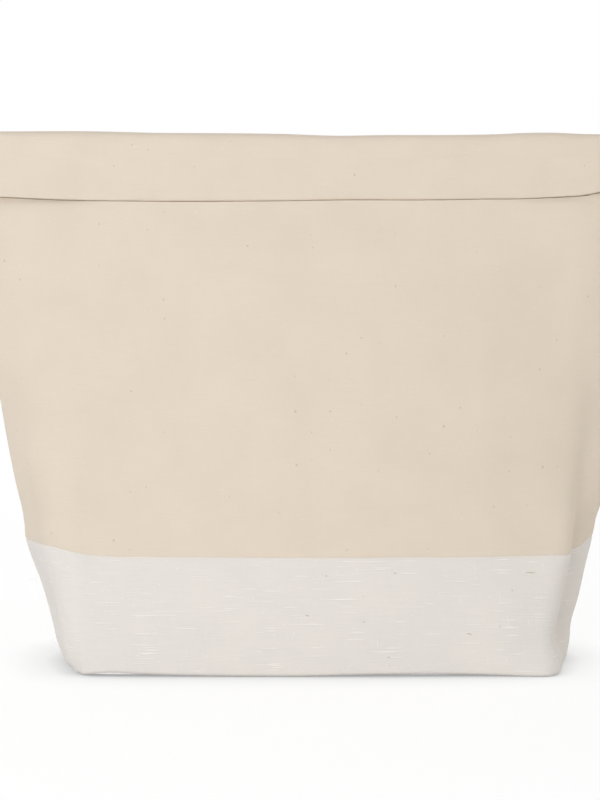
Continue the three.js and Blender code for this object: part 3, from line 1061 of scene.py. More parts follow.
@dataclass(frozen=True)
class ClothFinish:
    """A woven cloth with its own tones, streaks and flecks."""

    name: str
    slot: str
    colour: Colour
    patch_colour: Colour
    thick_yarn: Colour
    # The tone of the thin yarns, which also colours the painted shade under thick yarns
    thin_yarn_and_shade: Colour
    fleck_colour: Colour
    thread: Thread
    streak_strength: float
    fleck_share: float
    fleck_strength: float
    slub_share: float
    slub_strength: float
    slub_waves: tuple[float, float]
    patch_share: float
    weave_share: float
    nep_share: float
    roughness: float = 0.93
    sheen: float = 0.12

    # Cells and waves are for each metre of cloth, and the rest are shares from 0 to 1
    SEED_CELLS = (125.0, 110.0)
    SEED_RADIUS = 0.045
    NEP_CELLS = (210.0, 420.0)
    NEP_RADIUS = 0.09
    NEP_CHANCE = 0.10
    PATCH_WAVES = 34.0
    CLUSTER_WAVES = 64.0
    CLUSTER_RANGE = (0.25, 0.75, 0.15, 1.0)
    GRAIN_RANGE = (0.55, 0.95)
    WARP_SPARSE = 1.06
    WARP_SHARE = 0.6
    # Painted shade under thick yarns: how far it lies from them, in waves, and how strong it is
    PAINTED_SHADE_SHIFT = 0.38
    PAINTED_SHADE_SHARE = 0.7
    SLUB_HEIGHT = 0.7
    WARP_STRETCH = (1.1, 1.5)
    WARP_TONE = 0.5
    BUMP_STRENGTH = 0.6
    SPECULAR = 0.15

    def build(self, groups: ShaderGroups) -> bpy.types.Material:
        """The finished material.

        Args:
            groups: the shared node groups.

        Returns:
            The material.
        """
        material, sheet, place = NodeSheet.for_cloth(self.name)

        def group(tree: Tree, **inputs: object) -> Node:
            """One of the shared groups, read at the cloth's place."""
            return sheet.add("ShaderNodeGroup", {"node_tree": tree}, Cloth=place, **inputs)

        weave = group(
            groups.weave, Warp_Pitch=self.thread.warp_pitch,
            Weft_Pitch=self.thread.weft_pitch, Drift=self.thread.drift,
        )
        along, across = self.slub_waves
        weft = group(
            groups.streaks, Waves_Across=along, Waves_Up=across, Sparse=1.0 - self.slub_share,
            Shift=(0.0, self.PAINTED_SHADE_SHIFT, 0.0),
        )
        warp = group(
            groups.streaks, Waves_Across=across * self.WARP_STRETCH[0],
            Waves_Up=along * self.WARP_STRETCH[1],
            Sparse=self.WARP_SPARSE - self.slub_share, Shift=(self.PAINTED_SHADE_SHIFT, 0.0, 0.0),
        )
        seeds = group(
            groups.flecks, Cells_Across=self.SEED_CELLS[0], Cells_Up=self.SEED_CELLS[1],
            Radius=self.SEED_RADIUS, Share=self.fleck_share,
        )
        neps = group(
            groups.flecks, Cells_Across=self.NEP_CELLS[0], Cells_Up=self.NEP_CELLS[1],
            Radius=self.NEP_RADIUS, Share=self.NEP_CHANCE,
        )
        patch = group(groups.mottle, Waves=self.PATCH_WAVES)
        cluster = group(groups.mottle, Waves=self.CLUSTER_WAVES)
        patched = sheet.times(patch.outputs["Tone"], self.patch_share)
        tone = sheet.blend(patched, self.colour, self.patch_colour)
        warp_tone = sheet.times(warp.outputs["Tone"], self.WARP_TONE)
        fine = sheet.math("ADD", weft.outputs["Tone"], warp_tone)
        streaks = sheet.times(sheet.spread(fine, *self.GRAIN_RANGE), self.streak_strength)
        tone = sheet.blend(streaks, tone, self.thin_yarn_and_shade)
        shown = sheet.spread(cluster.outputs["Tone"], *self.CLUSTER_RANGE)
        in_warp = sheet.times(warp.outputs["Mask"], self.WARP_SHARE)
        thick = sheet.times(sheet.math("MAXIMUM", weft.outputs["Mask"], in_warp), shown)
        tone = sheet.blend(sheet.times(thick, self.slub_strength), tone, self.thick_yarn)
        # Painted shade: a line just below each thick weft yarn is darkened towards the thin yarn's tone,
        # where its relief would cast shadow.
        beside = sheet.times(weft.outputs["Beside"], shown)
        beside = sheet.times(beside, self.slub_strength * self.PAINTED_SHADE_SHARE)
        tone = sheet.blend(beside, tone, self.thin_yarn_and_shade)
        nep = sheet.times(neps.outputs["Mask"], self.nep_share)
        tone = sheet.blend(nep, tone, self.thick_yarn)
        gap = sheet.times(sheet.times(weave.outputs["Gap"], self.weave_share), shown)
        tone = sheet.blend(gap, tone, self.thin_yarn_and_shade)
        seed = sheet.times(seeds.outputs["Mask"], self.fleck_strength)
        tone = sheet.blend(seed, tone, self.fleck_colour)
        lift = sheet.math("ADD", weave.outputs["Height"], sheet.times(thick, self.SLUB_HEIGHT))
        lift = sheet.math("ADD", lift, neps.outputs["Mask"])
        bump = sheet.add(
            "ShaderNodeBump", Strength=self.BUMP_STRENGTH, Distance=self.thread.relief, Height=lift
        )
        surface = sheet.add(
            "ShaderNodeBsdfPrincipled", Base_Color=tone, Roughness=self.roughness, Normal=bump.outputs[0],
            Sheen_Weight=self.sheen, Specular_IOR_Level=self.SPECULAR,
        )
        sheet.add("ShaderNodeOutputMaterial", Surface=surface.outputs[0])
        return material


@dataclass(frozen=True)
class PlainFinish:
    """A finish with one soft tone change and a fine surface."""

    name: str
    slot: str
    colour: Colour
    second: Colour
    roughness: float
    metallic: float = 0.0
    crinkled: bool = False
    grain: float = 900.0

    PATCH_WAVES = 60.0
    CRINKLE_HEIGHT = 0.35 * MM
    GRAIN_HEIGHT = 0.12 * MM
    ROUGH_SWING = 0.08
    BUMP_STRENGTH = 0.5

    def build(self, groups: ShaderGroups) -> bpy.types.Material:
        """The finished material.

        Args:
            groups: the shared node groups.

        Returns:
            The material.
        """
        material, sheet, place = NodeSheet.for_cloth(self.name)
        patch = sheet.add(
            "ShaderNodeGroup", {"node_tree": groups.mottle}, Cloth=place, Waves=self.PATCH_WAVES
        )
        tone = sheet.blend(patch.outputs[0], self.colour, self.second)
        if self.crinkled:
            height = sheet.add("ShaderNodeGroup", {"node_tree": groups.crinkle}, Cloth=place).outputs[0]
            distance = self.CRINKLE_HEIGHT
        else:
            height = sheet.noise(place, self.grain).outputs[0]
            distance = self.GRAIN_HEIGHT
        roughest = min(self.roughness + self.ROUGH_SWING, 1.0)
        rough = sheet.spread(patch.outputs[0], 0.0, 1.0, self.roughness, roughest)
        bump = sheet.add("ShaderNodeBump", Strength=self.BUMP_STRENGTH, Distance=distance, Height=height)
        surface = sheet.add(
            "ShaderNodeBsdfPrincipled", Base_Color=tone, Roughness=rough, Metallic=self.metallic,
            Normal=bump.outputs[0],
        )
        sheet.add("ShaderNodeOutputMaterial", Surface=surface.outputs[0])
        return material


Finish = ClothFinish | PlainFinish
CANVAS = ClothFinish(
    name="unbleached_canvas",
    slot="canvas",
    colour=(0.775, 0.673, 0.556),
    patch_colour=(0.742, 0.645, 0.530),
    thick_yarn=(0.830, 0.750, 0.640),
    thin_yarn_and_shade=(0.640, 0.545, 0.420),
    fleck_colour=(0.340, 0.270, 0.190),
    thread=Thread(0.55 * MM, 0.62 * MM, 0.3 * MM, 0.045 * MM),
    streak_strength=0.07,
    fleck_share=0.16,
    fleck_strength=0.36,
    slub_share=0.34,
    slub_strength=0.30,
    slub_waves=(85.0, 950.0),
    patch_share=0.70,
    weave_share=0.05,
    nep_share=0.55,
)
JUCO = ClothFinish(
    name="white_jute_cotton",
    slot="juco",
    colour=(0.806, 0.759, 0.703),
    patch_colour=(0.779, 0.735, 0.691),
    thick_yarn=(0.950, 0.915, 0.870),
    thin_yarn_and_shade=(0.690, 0.640, 0.575),
    fleck_colour=(0.330, 0.270, 0.200),
    thread=Thread(0.80 * MM, 0.92 * MM, 0.6 * MM, 0.08 * MM),
    streak_strength=0.17,
    fleck_share=0.04,
    fleck_strength=0.35,
    slub_share=0.38,
    slub_strength=0.72,
    slub_waves=(52.0, 900.0),
    patch_share=0.80,
    weave_share=0.13,
    nep_share=0.60,
)
BINDING = ClothFinish(
    name="binding_tape",
    slot="binding",
    colour=(0.700, 0.620, 0.510),
    patch_colour=(0.670, 0.600, 0.495),
    thick_yarn=(0.760, 0.690, 0.590),
    thin_yarn_and_shade=(0.560, 0.480, 0.380),
    fleck_colour=(0.400, 0.320, 0.230),
    thread=Thread(0.7 * MM, 0.9 * MM, 0.1 * MM, 0.15 * MM),
    streak_strength=0.15,
    fleck_share=0.02,
    fleck_strength=0.4,
    slub_share=0.28,
    slub_strength=0.5,
    slub_waves=(85.0, 950.0),
    patch_share=0.55,
    weave_share=0.14,
    nep_share=0.60,
)
FOAM = PlainFinish(
    "closed_cell_foam", "foam", (0.860, 0.860, 0.840), (0.820, 0.820, 0.800), 0.80, grain=1800.0
)
FOIL = PlainFinish(
    "metallised_film", "foil", (0.780, 0.790, 0.800), (0.720, 0.735, 0.750), 0.24, 0.95, True
)
TAPE = PlainFinish("fastener_tape", "tape", (0.760, 0.690, 0.590), (0.720, 0.650, 0.550), 0.85)
PILE = PlainFinish("fastener_pile", "tape", (0.800, 0.740, 0.650), (0.760, 0.700, 0.610), 0.70)
SEWING_THREAD = PlainFinish(
    "sewing_thread", "tape", (0.800, 0.740, 0.640), (0.740, 0.680, 0.580), 0.80, grain=3000.0
)
LOOSE_FIBRE = PlainFinish("loose_fibre", "juco", (0.860, 0.840, 0.800), (0.780, 0.750, 0.690), 0.90)
BROWN_SLUB = PlainFinish("brown_slub", "juco", (0.500, 0.440, 0.360), (0.620, 0.570, 0.490), 0.90)


class Wardrobe:
    """Builds each finish once and dresses pieces in it."""

    def __init__(self) -> None:
        """Starts with the shared groups and no material."""
        self.groups = ShaderGroups()
        self.made: dict[str, bpy.types.Material] = {}

    def dress(self, piece: Piece, finish: Finish) -> None:
        """Gives a piece its finish.

        Args:
            piece: the mesh object.
            finish: what it is made of.
        """
        if finish.name not in self.made:
            self.made[finish.name] = finish.build(self.groups)
        piece.data.materials.clear()
        piece.data.materials.append(self.made[finish.name])


def levels_between(low: float, high: float, step: float) -> np.ndarray:
    """Heights from low to high, about step apart."""
    return np.linspace(low, high, max(int(round((high - low) / step)), 1) + 1)


@dataclass(frozen=True)
class SoftEdge:
    """How the edge of a cloth turns in at a seam, with one step before its end."""

    turn: float = 0.35 * MM
    reach: float = 0.7 * MM
    step_turn: float = 0.1225 * MM
    step_reach: float = 0.28 * MM


@dataclass
class BaseTray:
    """The jute-cotton base: its flat bottom, its foot and the band round the bag."""

    cloth: Cloth
    wardrobe: Wardrobe
    row_step: float = 2.2 * MM
    foot_steps: int = 7
    edge: SoftEdge = SoftEdge()
    bottom_rings: int = 10
    ring_share: float = 0.04
    front_from: float = 26 * MM
    front_reach: float = 20 * MM
    back_lift: float = 0.5 * MM
    back_reach: float = 50 * MM
    lift_fade: float = 9 * MM

    # How far the foot stands off the floor, along X
    FRONT_LIFT = knots(
        (-122, 0), (-112, 0.2), (-99, 1.9), (-84, 1.3), (-40, 0.4), (-8, 0.3), (30, 1.1), (58, 1.3),
        (86, 0.7), (106, 0), (124, 0),
    )

    def ring(self, height: float, depth: float, at: float) -> np.ndarray:
        """A closed line round the bag as cut at one height, placed at another."""
        line = self.cloth.ring(height, depth)
        line[:, 2] = at
        return line

    def foot(self, inset: float) -> list[np.ndarray]:
        """The rounded foot of the outer face, or of a face that lies under it by inset."""
        angles = np.linspace(0.0, math.pi / 2, self.foot_steps + 1)
        bend = self.cloth.form.foot_round - inset
        rises, draws = inset + bend * (1 - np.cos(angles)), inset + bend * (1 - np.sin(angles))
        return [self.ring(rise, draw, rise) for rise, draw in zip(rises, draws)]

    def lifted(self, rings: np.ndarray) -> np.ndarray:
        """The rings with the foot drawn up where the cloth arches off the floor."""
        x, y, z = rings[..., 0], rings[..., 1], rings[..., 2]
        near_front = ease((-y - self.front_from) / self.front_reach)
        lift = eased_line(self.FRONT_LIFT, x) * near_front
        lift += self.back_lift * (1 - near_front) * ease(y / self.back_reach)
        raised = self.cloth.relief.risen(rings)
        raised[..., 2] += lift * np.exp(-z / self.lift_fade)
        return raised

    def build(self) -> list[Piece]:
        """Makes the base and puts it in place of its plain solid."""
        form, layers = self.cloth.form, self.cloth.form.layers
        top, cloth = form.seam_height, layers.base_cloth
        outer_foot, inner_foot = self.foot(0.0), self.foot(cloth)
        heights = levels_between(form.foot_round, top - self.edge.reach, self.row_step)[1:]
        outer = [self.ring(z, 0.0, z) for z in heights]
        inner = [self.ring(z, cloth, z) for z in heights]
        rim = [
            self.ring(top, self.edge.step_turn, top - self.edge.step_reach),
            self.ring(top, self.edge.turn, top),
            self.ring(top, cloth, top),
        ]
        shares = np.linspace(self.ring_share, 1.0, self.bottom_rings + 1)[:-1]
        under, inside = drawn_in(outer_foot[0], shares), drawn_in(inner_foot[0], shares)
        rows = under + outer_foot + outer + rim + inner[::-1] + inner_foot[::-1] + inside[::-1]
        count = len(rows)
        flat_count = len(under)
        piece = MeshMaker.stacked(
            "base_cloth", self.lifted(np.array(rows)),
            lambda row: row < flat_count or row >= count - flat_count - 1,
        )
        self.wardrobe.dress(piece, JUCO)
        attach(piece, "bag")
        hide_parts("base_wrap")
        return [piece]


@dataclass
class Walls:
    """The canvas walls and the layers inside them, front and back."""

    cloth: Cloth
    wardrobe: Wardrobe
    row_step: float = 2.4 * MM
    lining_step: float = 4 * MM
    neck_step: float = 0.2 * MM
    neck_zone: float = 2 * MM
    neck_over: float = 7 * MM
    edge: SoftEdge = SoftEdge()
    crinkle: float = 0.35 * MM
    crinkle_waves: Point = (130.0, 130.0, 130.0)
    crinkle_to: float = 150 * MM
    crinkle_fade: float = 40 * MM
    crinkle_seam: float = 2 * MM
    floor_rings: int = 14
    ring_share: float = 0.04

    def levels(self, low: float, high: float, step: float) -> np.ndarray:
        """Heights of a layer's rows, closer together where the wall draws in under the band."""
        from_z = self.cloth.form.neck_height - self.neck_zone
        to_z = self.cloth.form.neck_height + self.neck_over
        return np.concatenate([
            levels_between(low, from_z, step),
            levels_between(from_z, to_z, self.neck_step)[1:],
            levels_between(to_z, high, step)[1:],
        ])

    def canvas(self, face: Face) -> Piece:
        """A canvas wall, from the base seam to where it bends over the fold."""
        form, edge = self.cloth.form, self.edge
        seam = form.seam_height
        above = self.levels(seam + edge.reach, form.fold_start, self.row_step)
        heights = np.concatenate([[seam, seam + edge.step_reach], above])
        turned = np.concatenate([[edge.turn, edge.step_turn], np.zeros(len(above))])
        outer = [self.cloth.row(face, z, depth) for z, depth in zip(heights, turned)]
        inner = [self.cloth.row(face, z, form.layers.canvas) for z in heights]
        points = np.array(outer + inner[::-1])
        piece = MeshMaker.carried(f"{face.value}_canvas_wall", self.cloth.relief.risen(points))
        self.wardrobe.dress(piece, CANVAS)
        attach(piece, "bag")
        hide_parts(f"{face.value}_canvas")
        return piece

    def foot_draw(self, height: float) -> float:
        """How far a layer draws in at a height, over the rounded foot of the base."""
        form = self.cloth.form
        cloth = form.layers.base_cloth
        radius = form.foot_round - cloth
        rise = min(max((height - cloth) / radius, 0.0), 1.0)
        return radius * (1 - math.sqrt(1 - (1 - rise) ** 2))

    def inner_layer(self, face: Face, kind: str) -> Piece:
        """The foam or the foil of a wall."""
        form, layers = self.cloth.form, self.cloth.form.layers
        foil = kind == "foil"
        near = layers.foil_at if foil else layers.foam_at
        thick = layers.foil if foil else layers.foam
        low = layers.base_cloth + 2 * layers.clearance + layers.foam
        heights = self.levels(low, form.fold_start - layers.clearance / 2, self.lining_step)
        outer = np.array([self.cloth.row(face, z, near + self.foot_draw(z)) for z in heights])
        inner = np.array([self.cloth.row(face, z, near + thick + self.foot_draw(z)) for z in heights])
        if foil:
            calm = 1.0 - ease((outer[..., 2] - self.crinkle_to) / self.crinkle_fade)
            away = self.crinkle * calm * (1 + noise_field(outer, self.crinkle_waves, Pattern.CRINKLE)) / 2
            for rows in (outer, inner):
                clear = np.sign(np.abs(rows[..., 1]) - self.crinkle_seam)
                rows[..., 1] -= face.towards * away * clear
        points = self.cloth.relief.risen(np.concatenate([outer, inner[::-1]]))
        piece = MeshMaker.carried(f"{face.value}_{kind}_sheet", points)
        self.wardrobe.dress(piece, FOIL if foil else FOAM)
        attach(piece, "bag")
        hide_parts(f"{face.value}_{kind}")
        return piece

    def floor_layer(self, kind: str) -> Piece:
        """The foam or the foil on the bottom."""
        layers = self.cloth.form.layers
        foil = kind == "foil"
        low = layers.base_cloth + layers.clearance
        low += layers.foam + layers.clearance if foil else 0.0
        depth = (layers.lining if foil else layers.base_cloth) + self.foot_draw(low) + layers.clearance
        bottom = self.cloth.ring(low, depth)
        top = bottom.copy()
        top[:, 2] = low + (layers.foil if foil else layers.foam)
        shares = np.linspace(self.ring_share, 1.0, self.floor_rings)
        rings = drawn_in(bottom, shares) + drawn_in(top, shares[::-1])
        piece = MeshMaker.stacked(f"floor_{kind}_sheet", np.array(rings), lambda row: True)
        self.wardrobe.dress(piece, FOIL if foil else FOAM)
        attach(piece, "bag")
        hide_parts(f"base_{kind}")
        return piece

    def build(self) -> list[Piece]:
        """Makes every wall and every layer inside."""
        made = [self.canvas(face) for face in Face]
        for kind in ("foam", "foil"):
            made += [self.inner_layer(face, kind) for face in Face]
            made.append(self.floor_layer(kind))
        return made


ARCH_SAMPLES = 2001


def superellipse(
    squareness: float, half_width: float, height: float, steps: int
) -> tuple[np.ndarray, np.ndarray]:
    """An arch in even steps along its length.

    Args:
        squareness: 2 is an ellipse, and more is squarer.
        half_width: half the span of the arch, for the spacing only.
        height: its rise, for the spacing only.
        steps: how many steps it has.

    Returns:
        How far across each point is, from 0 to 1, and how far up, from 0 to 1.
    """
    angle = np.linspace(0.0, math.pi, ARCH_SAMPLES)
    cosine, sine = np.cos(angle), np.sin(angle)
    across = (1 - np.sign(cosine) * np.abs(cosine) ** (2 / squareness)) / 2
    up = np.abs(sine) ** (2 / squareness)
    run = lengths_along(np.column_stack([across * 2 * half_width, up * height]))
    even = np.linspace(0.0, run[-1], steps + 1)
    up = np.interp(even, run, up)
    up[0] = up[-1] = 0.0
    return np.interp(even, run, across), up


@dataclass(frozen=True)
class FoldFace:
    """One face of a layer in the fold: its depth in the wall, in the lip and under the top."""

    in_wall: float
    in_lip: float
    under_top: float
    merged_under: float


@dataclass
class Fold:
    """The cloth and the lining where they bend forward over the top."""

    cloth: Cloth
    wardrobe: Wardrobe
    steps: int = 60
    canvas_squareness: float = 4.2
    lining_squareness: float = 2.6
    bend_ease: float = 0.8 * MM
    mouth_pinch: float = 0.6 * MM
    edge_merge: float = 0.3

    def layer(self, face: Face, sides: Sequence[FoldFace], squareness: float) -> np.ndarray:
        """The closed profile of a layer at every column.

        Args:
            face: the wall that it comes from; the back wall becomes the outer lip.
            sides: its outer and its inner face.
            squareness: how square the arch is.

        Returns:
            An array of profile corners by columns by 3.
        """
        form, relief = self.cloth.form, self.cloth.relief
        side = face.towards
        rows = []
        for number, part in enumerate(sides):
            wall = form.section(form.fold_start).inset(part.in_wall).half(form.columns)
            lip = self.cloth.lip_row(part.in_lip)
            wall_y, lip_y = -side * wall[:, 1], form.lip_centre + side * lip[:, 1]
            if face is Face.BACK:
                lip_y = lip_y + self.cloth.lip_press()
            middle = form.columns.middle
            half_width = abs(wall_y[middle] - lip_y[middle]) / 2
            rise = form.fold_top - form.fold_start
            across, up = superellipse(squareness, half_width, rise, self.steps)
            order = slice(None) if number == 0 else slice(None, None, -1)
            across, up = across[order, None], up[order, None]
            outer = form.section(form.fold_start)
            share = (outer.side - np.abs(outer.half(form.columns)[:, 0])) / (outer.side - outer.corner)
            merge = np.clip(share / self.edge_merge, 0.0, 1.0)
            under = part.merged_under + (part.under_top - part.merged_under) * merge
            x = wall[:, 0] + (lip[:, 0] - wall[:, 0]) * across
            y = wall_y + (lip_y - wall_y) * across
            top = form.fold_top - relief.ridge_drop(x) - under
            z = form.fold_start + (top - form.fold_start) * up
            if face is Face.BACK:
                y = y - relief.band_stand(x, np.full_like(x, form.fold_start)) * ease((across - 0.5) * 2)
            rows.append(np.stack([x, y, z], axis=-1))
        return np.concatenate(rows)

    def build(self) -> list[Piece]:
        """Makes the four layers that lie over the fold."""
        layers = self.cloth.form.layers
        canvas, foil = layers.canvas, layers.foil
        back_foil = layers.facing_at + self.bend_ease
        front_foil = back_foil + foil + self.mouth_pinch
        front_canvas = front_foil + foil + layers.clearance + self.bend_ease
        merged = canvas + layers.clearance
        plans = (
            (
                "back_canvas_over_fold", "back_canvas_fold", Face.BACK, CANVAS, self.canvas_squareness,
                (FoldFace(0.0, 0.0, 0.0, 0.0), FoldFace(canvas, canvas, canvas, canvas)),
            ),
            (
                "back_foil_over_fold", "back_foil_fold", Face.BACK, FOIL, self.lining_squareness,
                (
                    FoldFace(layers.foil_at, layers.facing_at, back_foil, back_foil),
                    FoldFace(layers.lining, layers.facing_at + foil, back_foil + foil, back_foil + foil),
                ),
            ),
            (
                "front_foil_over_fold", "front_foil_fold", Face.FRONT, FOIL, self.lining_squareness,
                (
                    FoldFace(layers.lining, layers.facing_at + foil, front_foil, front_foil),
                    FoldFace(layers.foil_at, layers.facing_at, front_foil + foil, front_foil + foil),
                ),
            ),
            (
                "front_canvas_over_fold", "front_canvas_fold", Face.FRONT, CANVAS, self.lining_squareness,
                (
                    FoldFace(canvas, canvas, front_canvas, merged),
                    FoldFace(0.0, 0.0, front_canvas + canvas, merged + canvas),
                ),
            ),
        )
        made = []
        for name, node, face, finish, squareness, sides in plans:
            piece = MeshMaker.carried(name, self.layer(face, sides, squareness))
            self.wardrobe.dress(piece, finish)
            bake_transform(piece)
            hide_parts(node)
            made.append(piece)
        return made


@dataclass
class Lips:
    """The two lips of the mouth, with their hems turned up inside."""

    cloth: Cloth
    wardrobe: Wardrobe
    facing_depth: float = 12 * MM
    row_step: float = 1.0 * MM
    turn_steps: int = 8
    hem_tuck: float = 0.9 * MM
    tuck_ease: float = 5.0
    inner_rise: float = 0.9 * MM
    lift_ease: float = 1.2
    seam_hold: float = 0.42

    def path(self) -> np.ndarray:
        """The middle of the lip's cloth, as depth and height: down, round and up again."""
        form = self.cloth.form
        thick = form.layers.canvas
        facing = form.layers.facing_at + thick / 2
        radius = (facing - thick / 2) / 2
        low = form.neck_height + thick / 2 + radius
        down = [(thick / 2, z) for z in levels_between(low, form.fold_start, self.row_step)[::-1]]
        turn = [
            (thick / 2 + radius * (1 - math.cos(a)), low - radius * math.sin(a))
            for a in np.linspace(0.0, math.pi, self.turn_steps + 1)[1:-1]
        ]
        up = [(facing, z) for z in levels_between(low, form.neck_height + self.facing_depth, self.row_step)]
        return np.array(down + turn + up)

    def ribbon(self, path: np.ndarray, thick: float) -> np.ndarray:
        """A closed profile round a path, as depth and height."""
        along = np.gradient(path, axis=0)
        along /= np.linalg.norm(along, axis=1, keepdims=True)
        out = np.column_stack([along[:, 1], -along[:, 0]])
        return np.vstack([path + out * thick / 2, (path - out * thick / 2)[::-1]])

    def placed(self, profile: np.ndarray, outer: bool) -> np.ndarray:
        """The profile at every column of a lip.

        Args:
            profile: corners as depth and height.
            outer: whether this is the lip that shows as the band.

        Returns:
            An array of profile corners by columns by 3.
        """
        form, relief = self.cloth.form, self.cloth.relief
        side = 1.0 if outer else -1.0
        rows = []
        for depth, z in profile:
            line = self.cloth.lip_row(depth)
            x, y = line[:, 0], form.lip_centre + side * line[:, 1]
            height = np.full_like(x, z)
            down = min(max((form.fold_start - z) / (form.fold_start - form.neck_height), 0.0), 1.0)
            lift = relief.hem_lift(x)
            if outer:
                y = y + self.cloth.lip_press() - relief.band_stand(x, height)
                y = y + self.hem_tuck * down ** self.tuck_ease * relief.clear_of_ends(x)
            else:
                lift = lift + self.inner_rise
            rows.append(np.stack([x, y, height + lift * down ** self.lift_ease], axis=-1))
        return np.array(rows)

    def foil_profile(self) -> np.ndarray:
        """The foil above the facing, as depth and height."""
        layers = self.cloth.form.layers
        low = self.cloth.form.neck_height + self.facing_depth + layers.clearance
        heights = levels_between(low, self.cloth.form.fold_start, self.row_step)
        near, far = layers.facing_at, layers.facing_at + layers.foil
        return np.array([(near, z) for z in heights] + [(far, z) for z in heights[::-1]])

    def outer_halves(
        self, name: str, node: str, profile: np.ndarray, finish: Finish
    ) -> list[Piece]:
        """An outer lip layer in two halves, split at its middle, which meet the inner lip at the side seams.
        """
        form = self.cloth.form
        whole = self.placed(profile, outer=True)
        middle = form.columns.middle
        made = []
        for side, part in ((Side.LEFT, whole[:, :middle + 1]), (Side.RIGHT, whole[:, middle:])):
            piece = MeshMaker.carried(f"{name}_{side.value}", part)
            self.wardrobe.dress(piece, finish)
            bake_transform(piece)
            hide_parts(node)
            made.append(piece)
        return made

    def build(self) -> list[Piece]:
        """Makes both lips with their facings and foil."""
        hem = self.ribbon(self.path(), self.cloth.form.layers.canvas)
        foil = self.foil_profile()
        made = self.outer_halves("outer_lip_cloth", "outer_lip_canvas", hem, CANVAS)
        made += self.outer_halves("outer_lip_film", "outer_lip_foil", foil, FOIL)
        for name, node, profile, finish in (
            ("inner_lip_cloth", "inner_lip_canvas", hem, CANVAS),
            ("inner_lip_film", "inner_lip_foil", foil, FOIL),
        ):
            piece = MeshMaker.carried(name, self.placed(profile, outer=False))
            self.wardrobe.dress(piece, finish)
            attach(piece, "inner_lip")
            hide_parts(node)
            made.append(piece)
        return made


@dataclass(frozen=True)
class Stitch:
    """A stitch as it shows: its length, the gap to the next one and the thread's radius."""

    length: float
    gap: float
    radius: float
    points: int = 6
    arch: float = 0.9
    thin: float = 0.45
    end: float = 0.06

    def along(self, path: np.ndarray, lift: Sequence[float]) -> tuple[list, list]:
        """Stitches along a line of points.

        Args:
            path: an array of points by 3.
            lift: the direction in which a stitch stands off the cloth.

        Returns:
            The path of each stitch and its radii.
        """
        run = lengths_along(path)
        step = self.length + self.gap
        shares = np.linspace(0.0, 1.0, self.points)
        arched = np.sin(math.pi * shares)[:, None] * np.array(lift) * self.radius * self.arch
        full = np.sin(math.pi * np.clip(shares, self.end, 1.0 - self.end))
        paths, radii = [], []
        for number in range(int(run[-1] // step)):
            at = number * step + self.gap / 2 + shares * self.length
            points = np.column_stack([np.interp(at, run, path[:, axis]) for axis in range(3)])
            paths.append(points + arched)
            radii.append(self.radius * mix(self.thin, 1.0, full))
        return paths, radii


